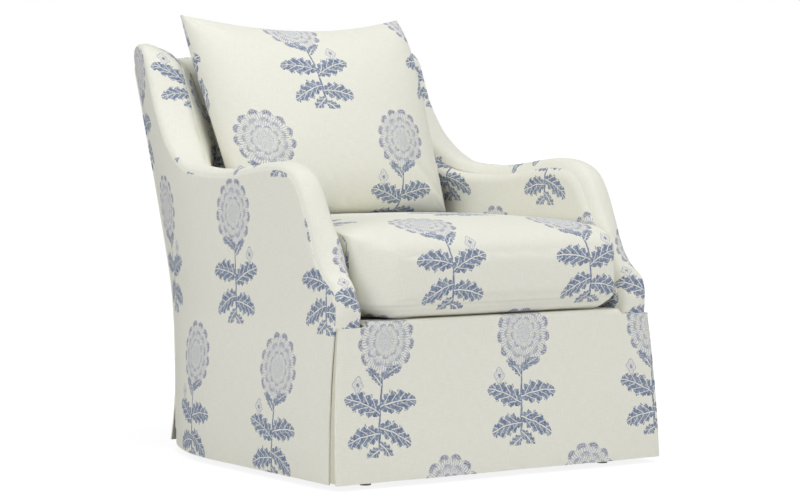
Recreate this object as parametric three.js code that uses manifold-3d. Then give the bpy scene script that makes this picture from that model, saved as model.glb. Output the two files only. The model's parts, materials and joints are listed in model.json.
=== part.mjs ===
import * as THREE from "three";
import { mergeVertices } from "three/addons/utils/BufferGeometryUtils.js";
import Module from "manifold-3d";

const wasm = await Module();
wasm.setup();

// Skirted lounge chair with swooping arms, a loose seat cushion and a loose back pillow.
// Millimetres, Z up, front towards minus Y. Y is measured back from the front hem while building.

// Overall envelope
const bodyWidth = 764;
const hemFlare = 18;
const rearDraw = 76;
const bodyRear = 790;
const armHeight = 615;
const backHeight = 871;
const pillowTop = 935;
const hemGap = 12;

// Cloth and clearances
const cloth = 3;
const touch = 0.3;
const clothTouch = 0.5;
const pleatTouch = 0.9;
const topTouch = 0.8;
const padInset = 7;

// Outer shell: where the sides start to draw in, and how the back leans
const taperRun = 325;
const leanSlopeShare = 0.375;
const leanKnee = 335;
const leanBlend = 100;
const backStand = 12;
const backSeamDrop = 45;
const rearSlit = 12;
const rearFlare = 26;
const rearSlitTop = 200;
const backSeamTuck = 1.6;

// Front skirt
const skirtSet = 20;
const sideEdge = 22;
const skirtLip = 52;
const lipRise = 11;
const lipStart = 0.3;

// Arms and wings
const armThick = 70;
const wingThick = 96;
const armFront = 31;
const armFootRise = 1;
const armCrown = 12;
const wingForward = 26;
const wingDrop = 80;
const wingBlend = 125;
const wingReach = 115;
const boardThick = 20;
const boardInset = 24;
const boardRearGap = 77;

// Inside back
const backThick = 93;
const insideSlopeShare = 0.285;
const backDip = 25;
const backTopRadius = 26;
const backPadThick = 25;

// Seat frame
const railThick = 25;
const railBottom = 190;
const railHeight = 110;
const railOut = 11.5;
const railFront = 30;
const railRearGap = 70;
const postWidth = 35;
const postDepth = 35;
const postInset = 9;
const postTopGap = 16;
const crestRailHeight = 60;
const lowerRailHeight = 50;
const lowerRailRise = 50;
const blockLength = 90;
const blockRise = 10;
const blockHeight = 40;

// Deck
const strapWidth = 50;
const strapThick = 2;
const strapCount = 5;
const deckCloth = 2;
const deckRise = 21;
const deckRearGap = 7;
const rollThick = 14;
const dustThick = 1.6;
const dustInset = 4;

// Legs and glides
const legTop = 50;
const legFoot = 38;
const legInset = 6;
const glideRadius = 11;
const glideHeight = 6;

// Pleat inserts
const insertRun = 60;
const insertThick = 2;
const rearInsertLap = 28;

// Seat cushion
const seatFront = 12;
const seatRearGap = 9;
const seatThick = 176;
const seatSideGap = 3.5;
const seatCrown = 11;
const seatDraw = 2;
const seatCornerBack = 55;
const seatCornerSide = 30;
const seatUnder = 36;
const seatUnderShare = 0.145;
const seatWall = 4;
const seatZipLength = 440;
const zipWidth = 14;

// Back pillow
const pillowSideGap = 31;
const pillowSet = 85;
const pillowLeanShare = 0.46;
const pillowThick = 190;
const pillowDip = 38;
const pillowWaist = 14;
const pillowEdge = 4;
const pillowWall = 4;
const pillowZipLength = 360;
const pillowZipSet = 30;

// Counts
const crestSteps = 30;
const panelRows = 7;
const bandSteps = 4;
const backRows = 12;
const turnSteps = 3;
const backColumns = 10;
const skirtColumns = 8;
const insertRows = 5;
const seatSections = 12;
const pillowColumns = 14;
const pillowRows = 12;

const halfBody = bodyWidth / 2;
const halfHem = halfBody + hemFlare;
const halfRear = halfBody - rearDraw;
const innerHalf = halfBody - armThick;
const pillowWidth = 2 * (innerHalf - pillowSideGap);

// Depths that follow the rear of the body
const taperStart = bodyRear - taperRun;
const insideFoot = bodyRear - backThick;
const boardRear = insideFoot - boardRearGap;
const deckRear = insideFoot - deckRearGap;
const seatRear = insideFoot - seatRearGap;
const pillowFoot = insideFoot - pillowSet;
const railRear = bodyRear - railRearGap;
const railOuter = innerHalf + railOut;

// Heights that follow the rails, the arms and the wings
const railTop = railBottom + railHeight;
const rearInsertTop = railBottom + rearInsertLap;
const deckTop = railTop + deckRise;
const skirtTop = deckTop - lipRise;
const skirtDrop = skirtTop - hemGap;
const armFoot = skirtTop + armFootRise;
const seatTop = deckTop + seatThick;
const wingLow = armHeight - wingDrop;
const backSeam = backHeight - backSeamDrop;
const backTop = backHeight - backDip;
const postTop = backTop - postTopGap;

function clamp01(value) {
  return Math.min(1, Math.max(0, value));
}

function smooth(value) {
  const t = clamp01(value);
  return t * t * (3 - 2 * t);
}

// How far the raked back has moved rearwards at a height.
function lean(z) {
  const rise = z - leanKnee;
  return (leanSlopeShare * (Math.hypot(rise, leanBlend) + rise)) / 2;
}

// Half width of the flat side at a height, flaring towards the hem.
function sideHalf(z) {
  const share = clamp01((z - hemGap) / skirtDrop);
  return halfBody + (halfHem - halfBody) * (1 - share * share);
}

function taperShare(y, z) {
  return clamp01((y - taperStart - lean(z)) / taperRun);
}

// Outer face of the side at a depth and height.
function outerX(y, z) {
  const share = taperShare(y, z);
  return sideHalf(z) - (sideHalf(z) - halfRear) * share * share;
}

// Inner face of the arm, thickening inwards where it becomes the wing.
function innerX(y, z) {
  const along = smooth((y - taperStart - lean(z)) / wingReach);
  const up = smooth((z - wingLow) / wingBlend);
  const wing = outerX(y, z) - wingThick;
  return innerHalf + (wing - innerHalf) * along * up;
}

function insideBackY(z) {
  return insideFoot + insideSlopeShare * (z - deckTop);
}

function rearEdgeY(z) {
  return bodyRear + lean(z);
}

function standAt(x) {
  return backStand * (1 - Math.pow(clamp01(Math.abs(x) / halfRear), 6));
}

function outsideBackY(x, z) {
  const share = clamp01((rearSlitTop - z) / (rearSlitTop - hemGap));
  return rearEdgeY(z) + standAt(x) + rearFlare * share * share;
}

function skirtY(z) {
  return (skirtSet * (z - hemGap)) / skirtDrop;
}

// Seam line over the arm: shares of the run back, of the arm's rise and of the wing's rise.
const crestShares = [
  [0, 0, 0],
  [-0.002, 0.09, 0],
  [-0.001, 0.18, 0],
  [0.006, 0.228, 0],
  [0.02, 0.262, 0],
  [0.042, 0.305, 0],
  [0.066, 0.382, 0],
  [0.084, 0.472, 0],
  [0.098, 0.58, 0],
  [0.115, 0.714, 0],
  [0.133, 0.826, 0],
  [0.155, 0.916, 0],
  [0.182, 0.968, 0],
  [0.214, 0.993, 0],
  [0.258, 1, 0],
  [0.305, 0.99, 0],
  [0.366, 0.967, 0],
  [0.43, 0.946, 0],
  [0.496, 0.94, 0],
  [0.56, 0.948, 0],
  [0.624, 0.975, 0],
  [0.676, 1, 0.051],
  [0.713, 1, 0.141],
  [0.749, 1, 0.258],
  [0.777, 1, 0.395],
  [0.801, 1, 0.539],
  [0.822, 1, 0.711],
  [0.842, 1, 0.871],
  [0.866, 1, 0.96],
  [0.902, 1, 0.996],
  [0.94, 1, 0.992],
  [0.976, 1, 0.94],
];

function crestPoint([back, arm, wing]) {
  const y = armFront + back * (rearEdgeY(backSeam) - armFront);
  const z = armFoot + arm * (armHeight - armFoot) + wing * (backHeight - armHeight);
  return new THREE.Vector3(0, y, z);
}

const crestEnd = new THREE.Vector3(0, rearEdgeY(backSeam), backSeam);
const crestLine = new THREE.CatmullRomCurve3(
  [...crestShares.map(crestPoint), crestEnd],
  false,
  "centripetal",
);
crestLine.arcLengthDivisions = crestSteps * crestSteps;
const crest = crestLine.getSpacedPoints(crestSteps);

// Outward direction of the seam line in the side view.
function crestNormal(i) {
  const before = crest[Math.max(0, i - 1)];
  const after = crest[Math.min(crestSteps, i + 1)];
  const along = after.clone().sub(before).normalize();
  return new THREE.Vector3(0, -along.z, along.y);
}

const crestNormals = crest.map((_, i) => crestNormal(i));

// The inner seam runs ahead of the outer one on the wing.
function forwardAt(point) {
  const rise = smooth((point.z - armHeight + armCrown) / wingBlend);
  const past = smooth((backHeight - point.z) / wingForward);
  const front = point.y < taperStart ? 0 : 1;
  return wingForward * rise * past * front;
}

function seamPoint(i, inner, drop) {
  const point = crest[i].clone().addScaledVector(crestNormals[i], -drop);
  if (inner) point.y -= forwardAt(crest[i]);
  return point;
}

function signedVolume(positions, index) {
  const a = new THREE.Vector3();
  const b = new THREE.Vector3();
  const c = new THREE.Vector3();
  let total = 0;
  for (let i = 0; i < index.length; i += 3) {
    a.fromArray(positions, index[i] * 3);
    b.fromArray(positions, index[i + 1] * 3);
    c.fromArray(positions, index[i + 2] * 3);
    total += a.dot(b.cross(c));
  }
  return total;
}

function closedGeometry(points, faces) {
  const positions = points.flatMap((p) => [p.x, p.y, p.z]);
  if (signedVolume(positions, faces) < 0) {
    for (let i = 0; i < faces.length; i += 3) {
      const swap = faces[i];
      faces[i] = faces[i + 1];
      faces[i + 1] = swap;
    }
  }
  const geometry = new THREE.BufferGeometry();
  geometry.setAttribute("position", new THREE.Float32BufferAttribute(positions, 3));
  geometry.setIndex(faces);
  return geometry;
}

// A sheet with thickness: two matching grids of points, closed round their border.
function sheetGeometry(columns, rows, faceAt, backAt) {
  const points = [];
  const faces = [];
  const wide = columns + 1;
  const layer = wide * (rows + 1);
  for (const at of [faceAt, backAt]) {
    for (let j = 0; j <= rows; j++) {
      for (let i = 0; i <= columns; i++) points.push(at(i, j));
    }
  }
  const id = (i, j, side) => side * layer + j * wide + i;
  for (let j = 0; j < rows; j++) {
    for (let i = 0; i < columns; i++) {
      const corners = [[i, j], [i + 1, j], [i + 1, j + 1], [i, j + 1]];
      const [a, b, c, d] = corners.map(([m, n]) => id(m, n, 0));
      const [e, f, g, h] = corners.map(([m, n]) => id(m, n, 1));
      faces.push(a, b, c, a, c, d, e, g, f, e, h, g);
    }
  }
  const rim = [];
  for (let i = 0; i < columns; i++) rim.push([i, 0]);
  for (let j = 0; j < rows; j++) rim.push([columns, j]);
  for (let i = columns; i > 0; i--) rim.push([i, rows]);
  for (let j = rows; j > 0; j--) rim.push([0, j]);
  rim.forEach(([i, j], k) => {
    const [m, n] = rim[(k + 1) % rim.length];
    const a = id(i, j, 0);
    const b = id(m, n, 0);
    const c = id(m, n, 1);
    const d = id(i, j, 1);
    faces.push(a, c, b, a, d, c);
  });
  return closedGeometry(points, faces);
}

// Rings of points joined end to end, each end closed by shrinking rings to a middle point.
function ringGeometry(rings) {
  const count = rings[0].length;
  const points = rings.flat();
  const faces = [];
  for (let r = 0; r + 1 < rings.length; r++) {
    for (let k = 0; k < count; k++) {
      const n = (k + 1) % count;
      const a = r * count + k;
      const b = r * count + n;
      faces.push(a, b, b + count, a, b + count, a + count);
    }
  }
  const last = (rings.length - 1) * count;
  const middle = (ring) =>
    ring.reduce((sum, p) => sum.add(p), new THREE.Vector3()).divideScalar(count);
  const first = points.push(middle(rings[0])) - 1;
  const final = points.push(middle(rings[rings.length - 1])) - 1;
  for (let k = 0; k < count; k++) {
    const n = (k + 1) % count;
    faces.push(first, n, k, final, last + k, last + n);
  }
  return closedGeometry(points, faces);
}

function toSolid(geometry) {
  const bare = geometry.clone();
  bare.deleteAttribute("normal");
  bare.deleteAttribute("uv");
  const merged = mergeVertices(bare);
  const mesh = new wasm.Mesh({
    numProp: 3,
    vertProperties: new Float32Array(merged.attributes.position.array),
    triVerts: new Uint32Array(merged.index.array),
  });
  return new wasm.Manifold(mesh);
}

function fromSolid(solid) {
  const mesh = solid.getMesh();
  const geometry = new THREE.BufferGeometry();
  geometry.setAttribute("position", new THREE.BufferAttribute(mesh.vertProperties, 3));
  geometry.setIndex(new THREE.BufferAttribute(mesh.triVerts, 1));
  return geometry;
}

function blockGeometry(x0, x1, y0, y1, z0, z1) {
  const geometry = new THREE.BoxGeometry(x1 - x0, y1 - y0, z1 - z0);
  return geometry.translate((x0 + x1) / 2, (y0 + y1) / 2, (z0 + z1) / 2);
}

// An outline of depth and height points, given its thickness across the chair.
function boardGeometry(outline, x0, thickness) {
  const shape = new THREE.Shape(outline.map(([y, z]) => new THREE.Vector2(y, z)));
  const geometry = new THREE.ExtrudeGeometry(shape, {
    depth: thickness,
    bevelEnabled: false,
  });
  const turn = new THREE.Matrix4().set(0, 0, 1, x0, 1, 0, 0, 0, 0, 1, 0, 0, 0, 0, 0, 1);
  return geometry.applyMatrix4(turn);
}

function mirrored(geometry) {
  const bare = geometry.clone();
  bare.deleteAttribute("normal");
  bare.deleteAttribute("uv");
  const merged = mergeVertices(bare);
  const array = merged.attributes.position.array;
  const points = [];
  for (let i = 0; i < array.length; i += 3) {
    points.push(new THREE.Vector3(-array[i], array[i + 1], array[i + 2]));
  }
  return closedGeometry(points, Array.from(merged.index.array));
}

const paint = {
  linen: new THREE.MeshStandardMaterial({ color: 0xe3e2d8, roughness: 0.95 }),
  lining: new THREE.MeshStandardMaterial({ color: 0xcfcdb6, roughness: 0.95 }),
  foam: new THREE.MeshStandardMaterial({ color: 0xf0e9c8, roughness: 1 }),
  down: new THREE.MeshStandardMaterial({ color: 0xf6f6f4, roughness: 1 }),
  pine: new THREE.MeshStandardMaterial({ color: 0xc8a572, roughness: 0.7 }),
  birch: new THREE.MeshStandardMaterial({ color: 0xd9c091, roughness: 0.65 }),
  walnut: new THREE.MeshStandardMaterial({ color: 0x4b3325, roughness: 0.5 }),
  webbing: new THREE.MeshStandardMaterial({ color: 0x8a7350, roughness: 0.9 }),
  cambric: new THREE.MeshStandardMaterial({ color: 0x2a2a2a, roughness: 0.95 }),
  nylon: new THREE.MeshStandardMaterial({ color: 0xd6d3c6, roughness: 0.6 }),
  glide: new THREE.MeshStandardMaterial({ color: 0x3a3a3c, roughness: 0.5 }),
};

const chair = new THREE.Group();

function add(name, geometry, material) {
  const mesh = new THREE.Mesh(geometry, material);
  mesh.name = name;
  chair.add(mesh);
}

function addPair(name, geometry, material) {
  add(name + "_right", geometry, material);
  add(name + "_left", mirrored(geometry), material);
}

// A four sided patch of the side view, from its bottom, top, front and rear edges.
function patch(bottom, top, front, rear) {
  const corner = [bottom(0), bottom(1), top(0), top(1)];
  return (u, v) => {
    const point = new THREE.Vector3();
    point.addScaledVector(bottom(u), 1 - v).addScaledVector(top(u), v);
    point.addScaledVector(front(v), 1 - u).addScaledVector(rear(v), u);
    point.addScaledVector(corner[0], -(1 - u) * (1 - v));
    point.addScaledVector(corner[1], -u * (1 - v));
    point.addScaledVector(corner[2], -(1 - u) * v);
    point.addScaledVector(corner[3], -u * v);
    return point;
  };
}

function lerpPoint(a, b) {
  return (t) => a.clone().lerp(b, t);
}

function sideView(y, z) {
  return new THREE.Vector3(0, y, z);
}

// Front edge of an arm panel: up to the foot of the seam line, then on to its first step.
function footedEdge(bottom, foot, knee, rows) {
  const bend = (rows - 1) / rows;
  const below = lerpPoint(bottom, foot);
  const above = lerpPoint(foot, knee);
  return (t) => (t <= bend ? below(t / bend) : above((t - bend) / (1 - bend)));
}

// Steps up the rear edge, shared by the side panels and the outside back.
const rearSteps = Array.from({ length: panelRows + 1 }, (_, j) => j / panelRows);
const rearTopZ = backSeam - cloth - touch;
const rearHeights = rearSteps.map((t) => hemGap + t * (rearTopZ - hemGap));

function sideRearY(z) {
  const open = clamp01((rearSlitTop - z) / (rearSlitTop - hemGap));
  return rearEdgeY(z) - cloth - clothTouch - rearSlit * open;
}

// Outside arm: one cloth panel from the arm seam down to the hem.
function outsideArm() {
  const last = crestSteps - 1;
  const dropped = cloth + clothTouch;
  const topEnd = sideView(sideRearY(rearTopZ), rearTopZ);
  const top = (t) => {
    const i = Math.round(t * last);
    return i === last ? topEnd : seamPoint(i + 1, false, dropped);
  };
  const foot = sideView(seamPoint(0, false, dropped).y, armFoot - clothTouch);
  const bottomRear = sideView(sideRearY(hemGap), hemGap);
  const bottomFront = sideView(sideEdge, hemGap);
  const rear = (t) => {
    const z = hemGap + t * (rearTopZ - hemGap);
    return sideView(sideRearY(z), z);
  };
  const at = patch(
    lerpPoint(bottomFront, bottomRear),
    top,
    footedEdge(bottomFront, foot, top(0), panelRows),
    rear,
  );
  const place = (inset) => (i, j) => {
    const p = at(i / last, j / panelRows);
    p.x = outerX(p.y, p.z) - inset;
    return p;
  };
  return sheetGeometry(last, panelRows, place(0), place(cloth));
}

// The last seam step that lies ahead of the inside back.
const crestMeets = crest.findIndex(
  (p, i) => p.z > armHeight && seamPoint(i, true, 0).y > insideBackY(p.z) - clothTouch,
);

function insideArm() {
  const last = crestMeets - 2;
  const dropped = cloth + clothTouch;
  const floor = railTop + touch;
  const rearLine = (z) => insideBackY(z) - clothTouch;
  const topEnd = seamPoint(last + 1, true, dropped);
  topEnd.y = Math.min(topEnd.y, rearLine(topEnd.z));
  const top = (t) => {
    const i = Math.round(t * last);
    return i === last ? topEnd : seamPoint(i + 1, true, dropped);
  };
  const foot = seamPoint(0, true, dropped);
  const bottomFront = sideView(foot.y, floor);
  const bottomRear = sideView(rearLine(floor), floor);
  const at = patch(
    lerpPoint(bottomFront, bottomRear),
    top,
    footedEdge(bottomFront, foot, top(0), panelRows),
    lerpPoint(bottomRear, topEnd),
  );
  const place = (inset) => (i, j) => {
    const p = at(i / last, j / panelRows);
    p.x = innerX(p.y, p.z) + inset;
    return p;
  };
  return sheetGeometry(last, panelRows, place(0), place(cloth));
}

// Narrow crowned band over the arm, from the front foot to the rear seam.
function bandPoint(i, share, inset) {
  const outer = seamPoint(i, false, 0);
  const inner = seamPoint(i, true, 0);
  outer.x = outerX(outer.y, outer.z);
  inner.x = innerX(inner.y, inner.z);
  const p = inner.clone().lerp(outer, share);
  const rise = 4 * share * (1 - share);
  p.addScaledVector(crestNormals[i], armCrown * rise - inset);
  const rearward = smooth((p.y - insideBackY(p.z)) / backStand);
  p.y += rearward * standAt(p.x);
  return p;
}

function armBand() {
  const at = (inset) => (i, j) => bandPoint(i, j / bandSteps, inset);
  return sheetGeometry(crestSteps, bandSteps, at(0), at(cloth));
}

// Side frame panel cut to the arm's outline.
function armBoardOutline(grow) {
  const outline = [];
  const rearLimit = boardRear + grow;
  crest.forEach((p, i) => {
    const q = seamPoint(i, false, boardInset - grow);
    const risen = q.z > armFoot && i < crestMeets;
    if (risen && q.y < rearLimit) outline.push([q.y, q.z]);
  });
  const head = outline[0];
  const tail = outline[outline.length - 1];
  outline.push([rearLimit, tail[1]]);
  outline.push([rearLimit, railBottom]);
  outline.push([head[0], railBottom]);
  return outline;
}

const boardX = railOuter + touch;

function armBoard() {
  return boardGeometry(armBoardOutline(0), boardX, boardThick);
}

// Soft filling between the arm's cloths, slotted over the side panel.
function armPadding() {
  const dropped = cloth + padInset;
  const floor = railTop + touch + cloth;
  const rows = panelRows - 1;
  const steps = crestMeets - 2;
  const top = (t) => seamPoint(Math.round(t * steps) + 1, false, dropped);
  const foot = seamPoint(0, false, dropped);
  const bottomFront = sideView(foot.y, floor);
  const bottomRear = sideView(insideBackY(floor) - padInset, floor);
  const at = patch(
    lerpPoint(bottomFront, bottomRear),
    top,
    footedEdge(bottomFront, foot, top(0), rows),
    lerpPoint(bottomRear, top(1)),
  );
  const face = (i, j) => {
    const p = at(i / steps, j / rows);
    p.x = outerX(p.y, p.z) - cloth - padInset;
    return p;
  };
  const back = (i, j) => {
    const p = at(i / steps, j / rows);
    p.x = innerX(p.y, p.z) + cloth + padInset;
    return p;
  };
  const body = toSolid(sheetGeometry(steps, rows, face, back));
  const slot = boardGeometry(armBoardOutline(touch), boardX - touch, boardThick + 2 * touch);
  return fromSolid(body.subtract(toSolid(slot)));
}

// Inside back cloth: up the raked face, over the top and down to the rear seam.
const insideTopZ = backTop - backTopRadius;

// Middle of the rolled top in the side view, from the raked face to the rear seam.
function topLine() {
  const start = insideBackY(insideTopZ);
  const end = rearEdgeY(backSeam) + backStand;
  const drop = backTop - backSeam - touch;
  const front = [];
  const rear = [];
  for (let k = 0; k <= turnSteps; k++) {
    const angle = ((Math.PI / 2) * k) / turnSteps;
    const [across, up] = [Math.sin(angle), Math.cos(angle)];
    front.push(sideView(start + backTopRadius * (1 - up), insideTopZ + backTopRadius * across));
    rear.push(sideView(end - drop * (1 - across), backTop - drop * (1 - up)));
  }
  return new THREE.CatmullRomCurve3([...front, ...rear], false, "centripetal");
}

// Side edge of the rolled top, which follows the band's inner edge over the wing.
function topEdge() {
  const start = sideView(insideBackY(insideTopZ), insideTopZ);
  start.x = innerX(start.y, start.z);
  const points = [start];
  for (let i = crestMeets; i <= crestSteps; i++) points.push(bandPoint(i, 0, 0));
  const path = new THREE.CurvePath();
  for (let k = 1; k < points.length; k++) {
    path.add(new THREE.LineCurve3(points[k - 1], points[k]));
  }
  return path;
}

function insideBack() {
  const floor = railTop + touch;
  const middleLine = topLine();
  const edgeLine = topEdge();
  const overSteps = 2 * edgeLine.curves.length;
  const at = (inset) => (i, j) => {
    const share = (2 * i) / backColumns - 1;
    if (j <= backRows) {
      const z = floor + ((insideTopZ - floor) * j) / backRows;
      const y = insideBackY(z);
      return new THREE.Vector3(share * (innerX(y, z) - clothTouch), y + inset, z);
    }
    const t = (j - backRows) / overSteps;
    const middle = middleLine.getPointAt(t);
    const along = middleLine.getTangentAt(t);
    const edge = edgeLine.getPointAt(t);
    const over = smooth((middle.y - insideBackY(middle.z)) / backTopRadius);
    const x = share * (edge.x - topTouch);
    const point = new THREE.Vector3(x, middle.y + over * (standAt(x) - backStand), middle.z);
    point.lerp(new THREE.Vector3(x, edge.y, edge.z - topTouch), Math.pow(share, 4));
    point.y += along.z * inset;
    point.z -= along.y * inset;
    return point;
  };
  return sheetGeometry(backColumns, backRows + overSteps, at(0), at(cloth));
}

// Outside back: one cloth panel from the rear seam down to the hem, standing out below.
function outsideBack() {
  const at = (inset) => (i, j) => {
    const share = (2 * i) / backColumns - 1;
    const z = rearHeights[j] + (j === panelRows ? backSeamTuck : 0);
    const x = share * (halfRear - clothTouch);
    return new THREE.Vector3(x, outsideBackY(x, z) - inset, z);
  };
  return sheetGeometry(backColumns, panelRows, at(0), at(cloth));
}

// Front skirt: hem to seat edge, then over the rail and under the cushion.
const insertHeights = Array.from(
  { length: insertRows + 1 },
  (_, j) => hemGap + (skirtDrop * j) / insertRows,
);

function skirtFront() {
  const lipHalf = innerHalf - clothTouch;
  const rows = insertHeights.map((z) => ({
    y: skirtY(z),
    z,
    half: sideHalf(z),
    ny: -1,
    nz: 0,
  }));
  const bend = 4;
  rows.push({ y: skirtSet, z: skirtTop + lipStart, half: lipHalf, ny: -1, nz: 0 });
  for (let k = 1; k <= bend; k++) {
    const angle = ((Math.PI / 2) * k) / bend;
    rows.push({
      y: skirtSet + lipRise * (1 - Math.cos(angle)),
      z: skirtTop + (deckTop - skirtTop) * Math.sin(angle),
      half: lipHalf,
      ny: -Math.cos(angle),
      nz: Math.sin(angle),
    });
  }
  rows.push({ y: skirtSet + skirtLip, z: deckTop, half: lipHalf, ny: 0, nz: 1 });
  const at = (inset) => (i, j) => {
    const { y, z, half, ny, nz } = rows[j];
    const share = (2 * i) / skirtColumns - 1;
    return new THREE.Vector3(share * half, y - ny * inset, z - nz * inset);
  };
  return sheetGeometry(skirtColumns, rows.length - 1, at(0), at(cloth));
}

// Folded cloth behind a front corner slit.
function frontInsert() {
  const top = skirtTop - cloth;
  const at = (inset) => (i, j) => {
    const z = hemGap + cloth + ((top - hemGap - cloth) * j) / insertRows;
    const setBack = cloth + pleatTouch + inset;
    const x = sideHalf(z) - setBack;
    const y = skirtY(z) + setBack;
    if (i === 0) return new THREE.Vector3(x - insertRun + inset, y, z);
    if (i === 1) return new THREE.Vector3(x, y, z);
    return new THREE.Vector3(x, y + insertRun - inset, z);
  };
  return sheetGeometry(2, insertRows, at(0), at(insertThick));
}

// Folded cloth behind a rear corner slit, hung from the outer side of the back post.
const postFootY = railRear + touch;
const postOuter = railOuter - postInset;

function rearInsert() {
  const at = (inset) => (i, j) => {
    const z = hemGap + cloth + ((rearInsertTop - hemGap - cloth) * j) / insertRows;
    const setBack = cloth + pleatTouch + inset;
    const postX = postOuter + touch + insertThick - inset;
    if (i === 0) return new THREE.Vector3(postX, postFootY + postDepth / 4, z);
    if (i === 1) return new THREE.Vector3(postX, postFootY + postDepth, z);
    const cornerY = bodyRear - setBack;
    if (i === 2) return new THREE.Vector3(halfRear - setBack, cornerY, z);
    return new THREE.Vector3(halfRear - insertRun, cornerY + backStand / 2, z);
  };
  return sheetGeometry(3, insertRows, at(0), at(insertThick));
}

addPair("outside_arm", outsideArm(), paint.linen);
addPair("inside_arm", insideArm(), paint.linen);
addPair("arm_band", armBand(), paint.linen);
addPair("arm_board", armBoard(), paint.birch);
addPair("arm_padding", armPadding(), paint.foam);
add("inside_back", insideBack(), paint.linen);
add("outside_back", outsideBack(), paint.linen);
add("skirt_front", skirtFront(), paint.linen);
addPair("pleat_front", frontInsert(), paint.lining);
addPair("pleat_rear", rearInsert(), paint.lining);

// Seat frame
const sideRailFront = railFront + railThick + touch;
const railInner = railOuter - railThick;
const rail = [railBottom, railTop];
const frontRailHalf = boardX + boardThick;
const boardFront = Math.min(...armBoardOutline(0).map(([y]) => y));
const frontRailRear = Math.min(railFront + railThick, boardFront - touch);
add(
  "front_rail",
  blockGeometry(-frontRailHalf, frontRailHalf, railFront, frontRailRear, ...rail),
  paint.pine,
);
addPair(
  "side_rail",
  blockGeometry(railInner, railOuter, sideRailFront, railRear, ...rail),
  paint.pine,
);
const backRailHalf = railInner - touch;
add(
  "back_rail",
  blockGeometry(-backRailHalf, backRailHalf, railRear - railThick, railRear, ...rail),
  paint.pine,
);

// Raked back posts and the rails between them
const postFront = cloth + clothTouch + backPadThick + touch;
const postKneeZ = railTop;

function postLine(z) {
  return insideBackY(z) + postFront;
}

const postKneeY = Math.max(postFootY, postLine(postKneeZ));
addPair(
  "back_post",
  boardGeometry(
    [
      [postFootY, railBottom],
      [postFootY + postDepth, railBottom],
      [postKneeY + postDepth, postKneeZ],
      [postLine(postTop) + postDepth, postTop],
      [postLine(postTop), postTop],
      [postKneeY, postKneeZ],
    ],
    postOuter - postWidth,
    postWidth,
  ),
  paint.pine,
);
const betweenPosts = postOuter - postWidth - touch;

function backRail(low, height) {
  const high = low + height;
  return boardGeometry(
    [
      [postLine(low), low],
      [postLine(low) + railThick, low],
      [postLine(high) + railThick, high],
      [postLine(high), high],
    ],
    -betweenPosts,
    2 * betweenPosts,
  );
}

add("crest_rail", backRail(postTop - crestRailHeight, crestRailHeight), paint.pine);
add("lower_back_rail", backRail(railTop + lowerRailRise, lowerRailHeight), paint.pine);

// Foam slab in front of the posts
const backPadLow = deckTop + cloth;
const backPadHigh = insideTopZ - touch;
const backPadFront = cloth + clothTouch;
add(
  "back_pad",
  boardGeometry(
    [
      [insideBackY(backPadLow) + backPadFront, backPadLow],
      [insideBackY(backPadLow) + backPadFront + backPadThick, backPadLow],
      [insideBackY(backPadHigh) + backPadFront + backPadThick, backPadHigh],
      [insideBackY(backPadHigh) + backPadFront, backPadHigh],
    ],
    -(halfRear - wingThick),
    2 * (halfRear - wingThick),
  ),
  paint.foam,
);

// Corner blocks glued inside the seat frame
function cornerBlock(front) {
  const inner = railInner - touch;
  const y = front ? frontRailRear + touch : railRear - railThick - touch;
  const run = front ? blockLength : -blockLength;
  const shape = new THREE.Shape([
    new THREE.Vector2(inner, y),
    new THREE.Vector2(inner, y + run),
    new THREE.Vector2(inner - blockLength, y),
  ]);
  const geometry = new THREE.ExtrudeGeometry(shape, {
    depth: blockHeight,
    bevelEnabled: false,
  });
  return geometry.translate(0, 0, railBottom + blockRise);
}

addPair("corner_block_front", cornerBlock(true), paint.pine);
addPair("corner_block_rear", cornerBlock(false), paint.pine);

// Webbing straps stretched over the front and back rails
const strapPitch = (2 * backRailHalf - strapWidth) / strapCount;
const strapBase = railTop + touch;
for (let k = 0; k < strapCount; k++) {
  const middle = (k - (strapCount - 1) / 2) * strapPitch;
  add(
    "web_strap_" + (k + 1),
    blockGeometry(
      middle - strapWidth / 2,
      middle + strapWidth / 2,
      railFront + railThick / 4,
      deckRear,
      strapBase,
      strapBase + strapThick,
    ),
    paint.webbing,
  );
}

// Edge roll on the front rail, deck pad and deck cloth
const padBase = strapBase + strapThick + touch;
const deckHalf = innerHalf - cloth;
const rollFront = skirtSet + lipRise + cloth;
const lipUnder = deckTop - cloth - touch;
const rollRear = rollFront + rollThick;
add(
  "edge_roll",
  blockGeometry(-deckHalf, deckHalf, rollFront, rollRear, padBase, lipUnder),
  paint.foam,
);
const padTop = deckTop - cloth - touch;
const lipEnd = skirtSet + skirtLip;
add(
  "deck_pad",
  blockGeometry(-deckHalf, deckHalf, rollRear + touch, deckRear, padBase, padTop),
  paint.foam,
);
add(
  "deck_cloth",
  blockGeometry(
    -deckHalf,
    deckHalf,
    lipEnd + touch,
    deckRear,
    padTop + touch,
    padTop + touch + deckCloth,
  ),
  paint.lining,
);

// Dust cover under the rails, legs and glides
const dustTop = railBottom - touch;
const dustHalf = railOuter - dustInset;
add(
  "dust_cover",
  blockGeometry(
    -dustHalf,
    dustHalf,
    railFront + dustInset,
    railRear - dustInset,
    dustTop - dustThick,
    dustTop,
  ),
  paint.cambric,
);

function legGeometry() {
  const top = dustTop - dustThick - touch;
  const height = top - glideHeight;
  const corner = Math.SQRT1_2;
  const geometry = new THREE.CylinderGeometry(legTop * corner, legFoot * corner, height, 4);
  return geometry
    .rotateY(Math.PI / 4)
    .rotateX(Math.PI / 2)
    .translate(0, 0, glideHeight + height / 2);
}

function glideGeometry() {
  const height = glideHeight - touch;
  const geometry = new THREE.CylinderGeometry(glideRadius, glideRadius, height, 24);
  return geometry.rotateX(Math.PI / 2).translate(0, 0, height / 2);
}

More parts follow.
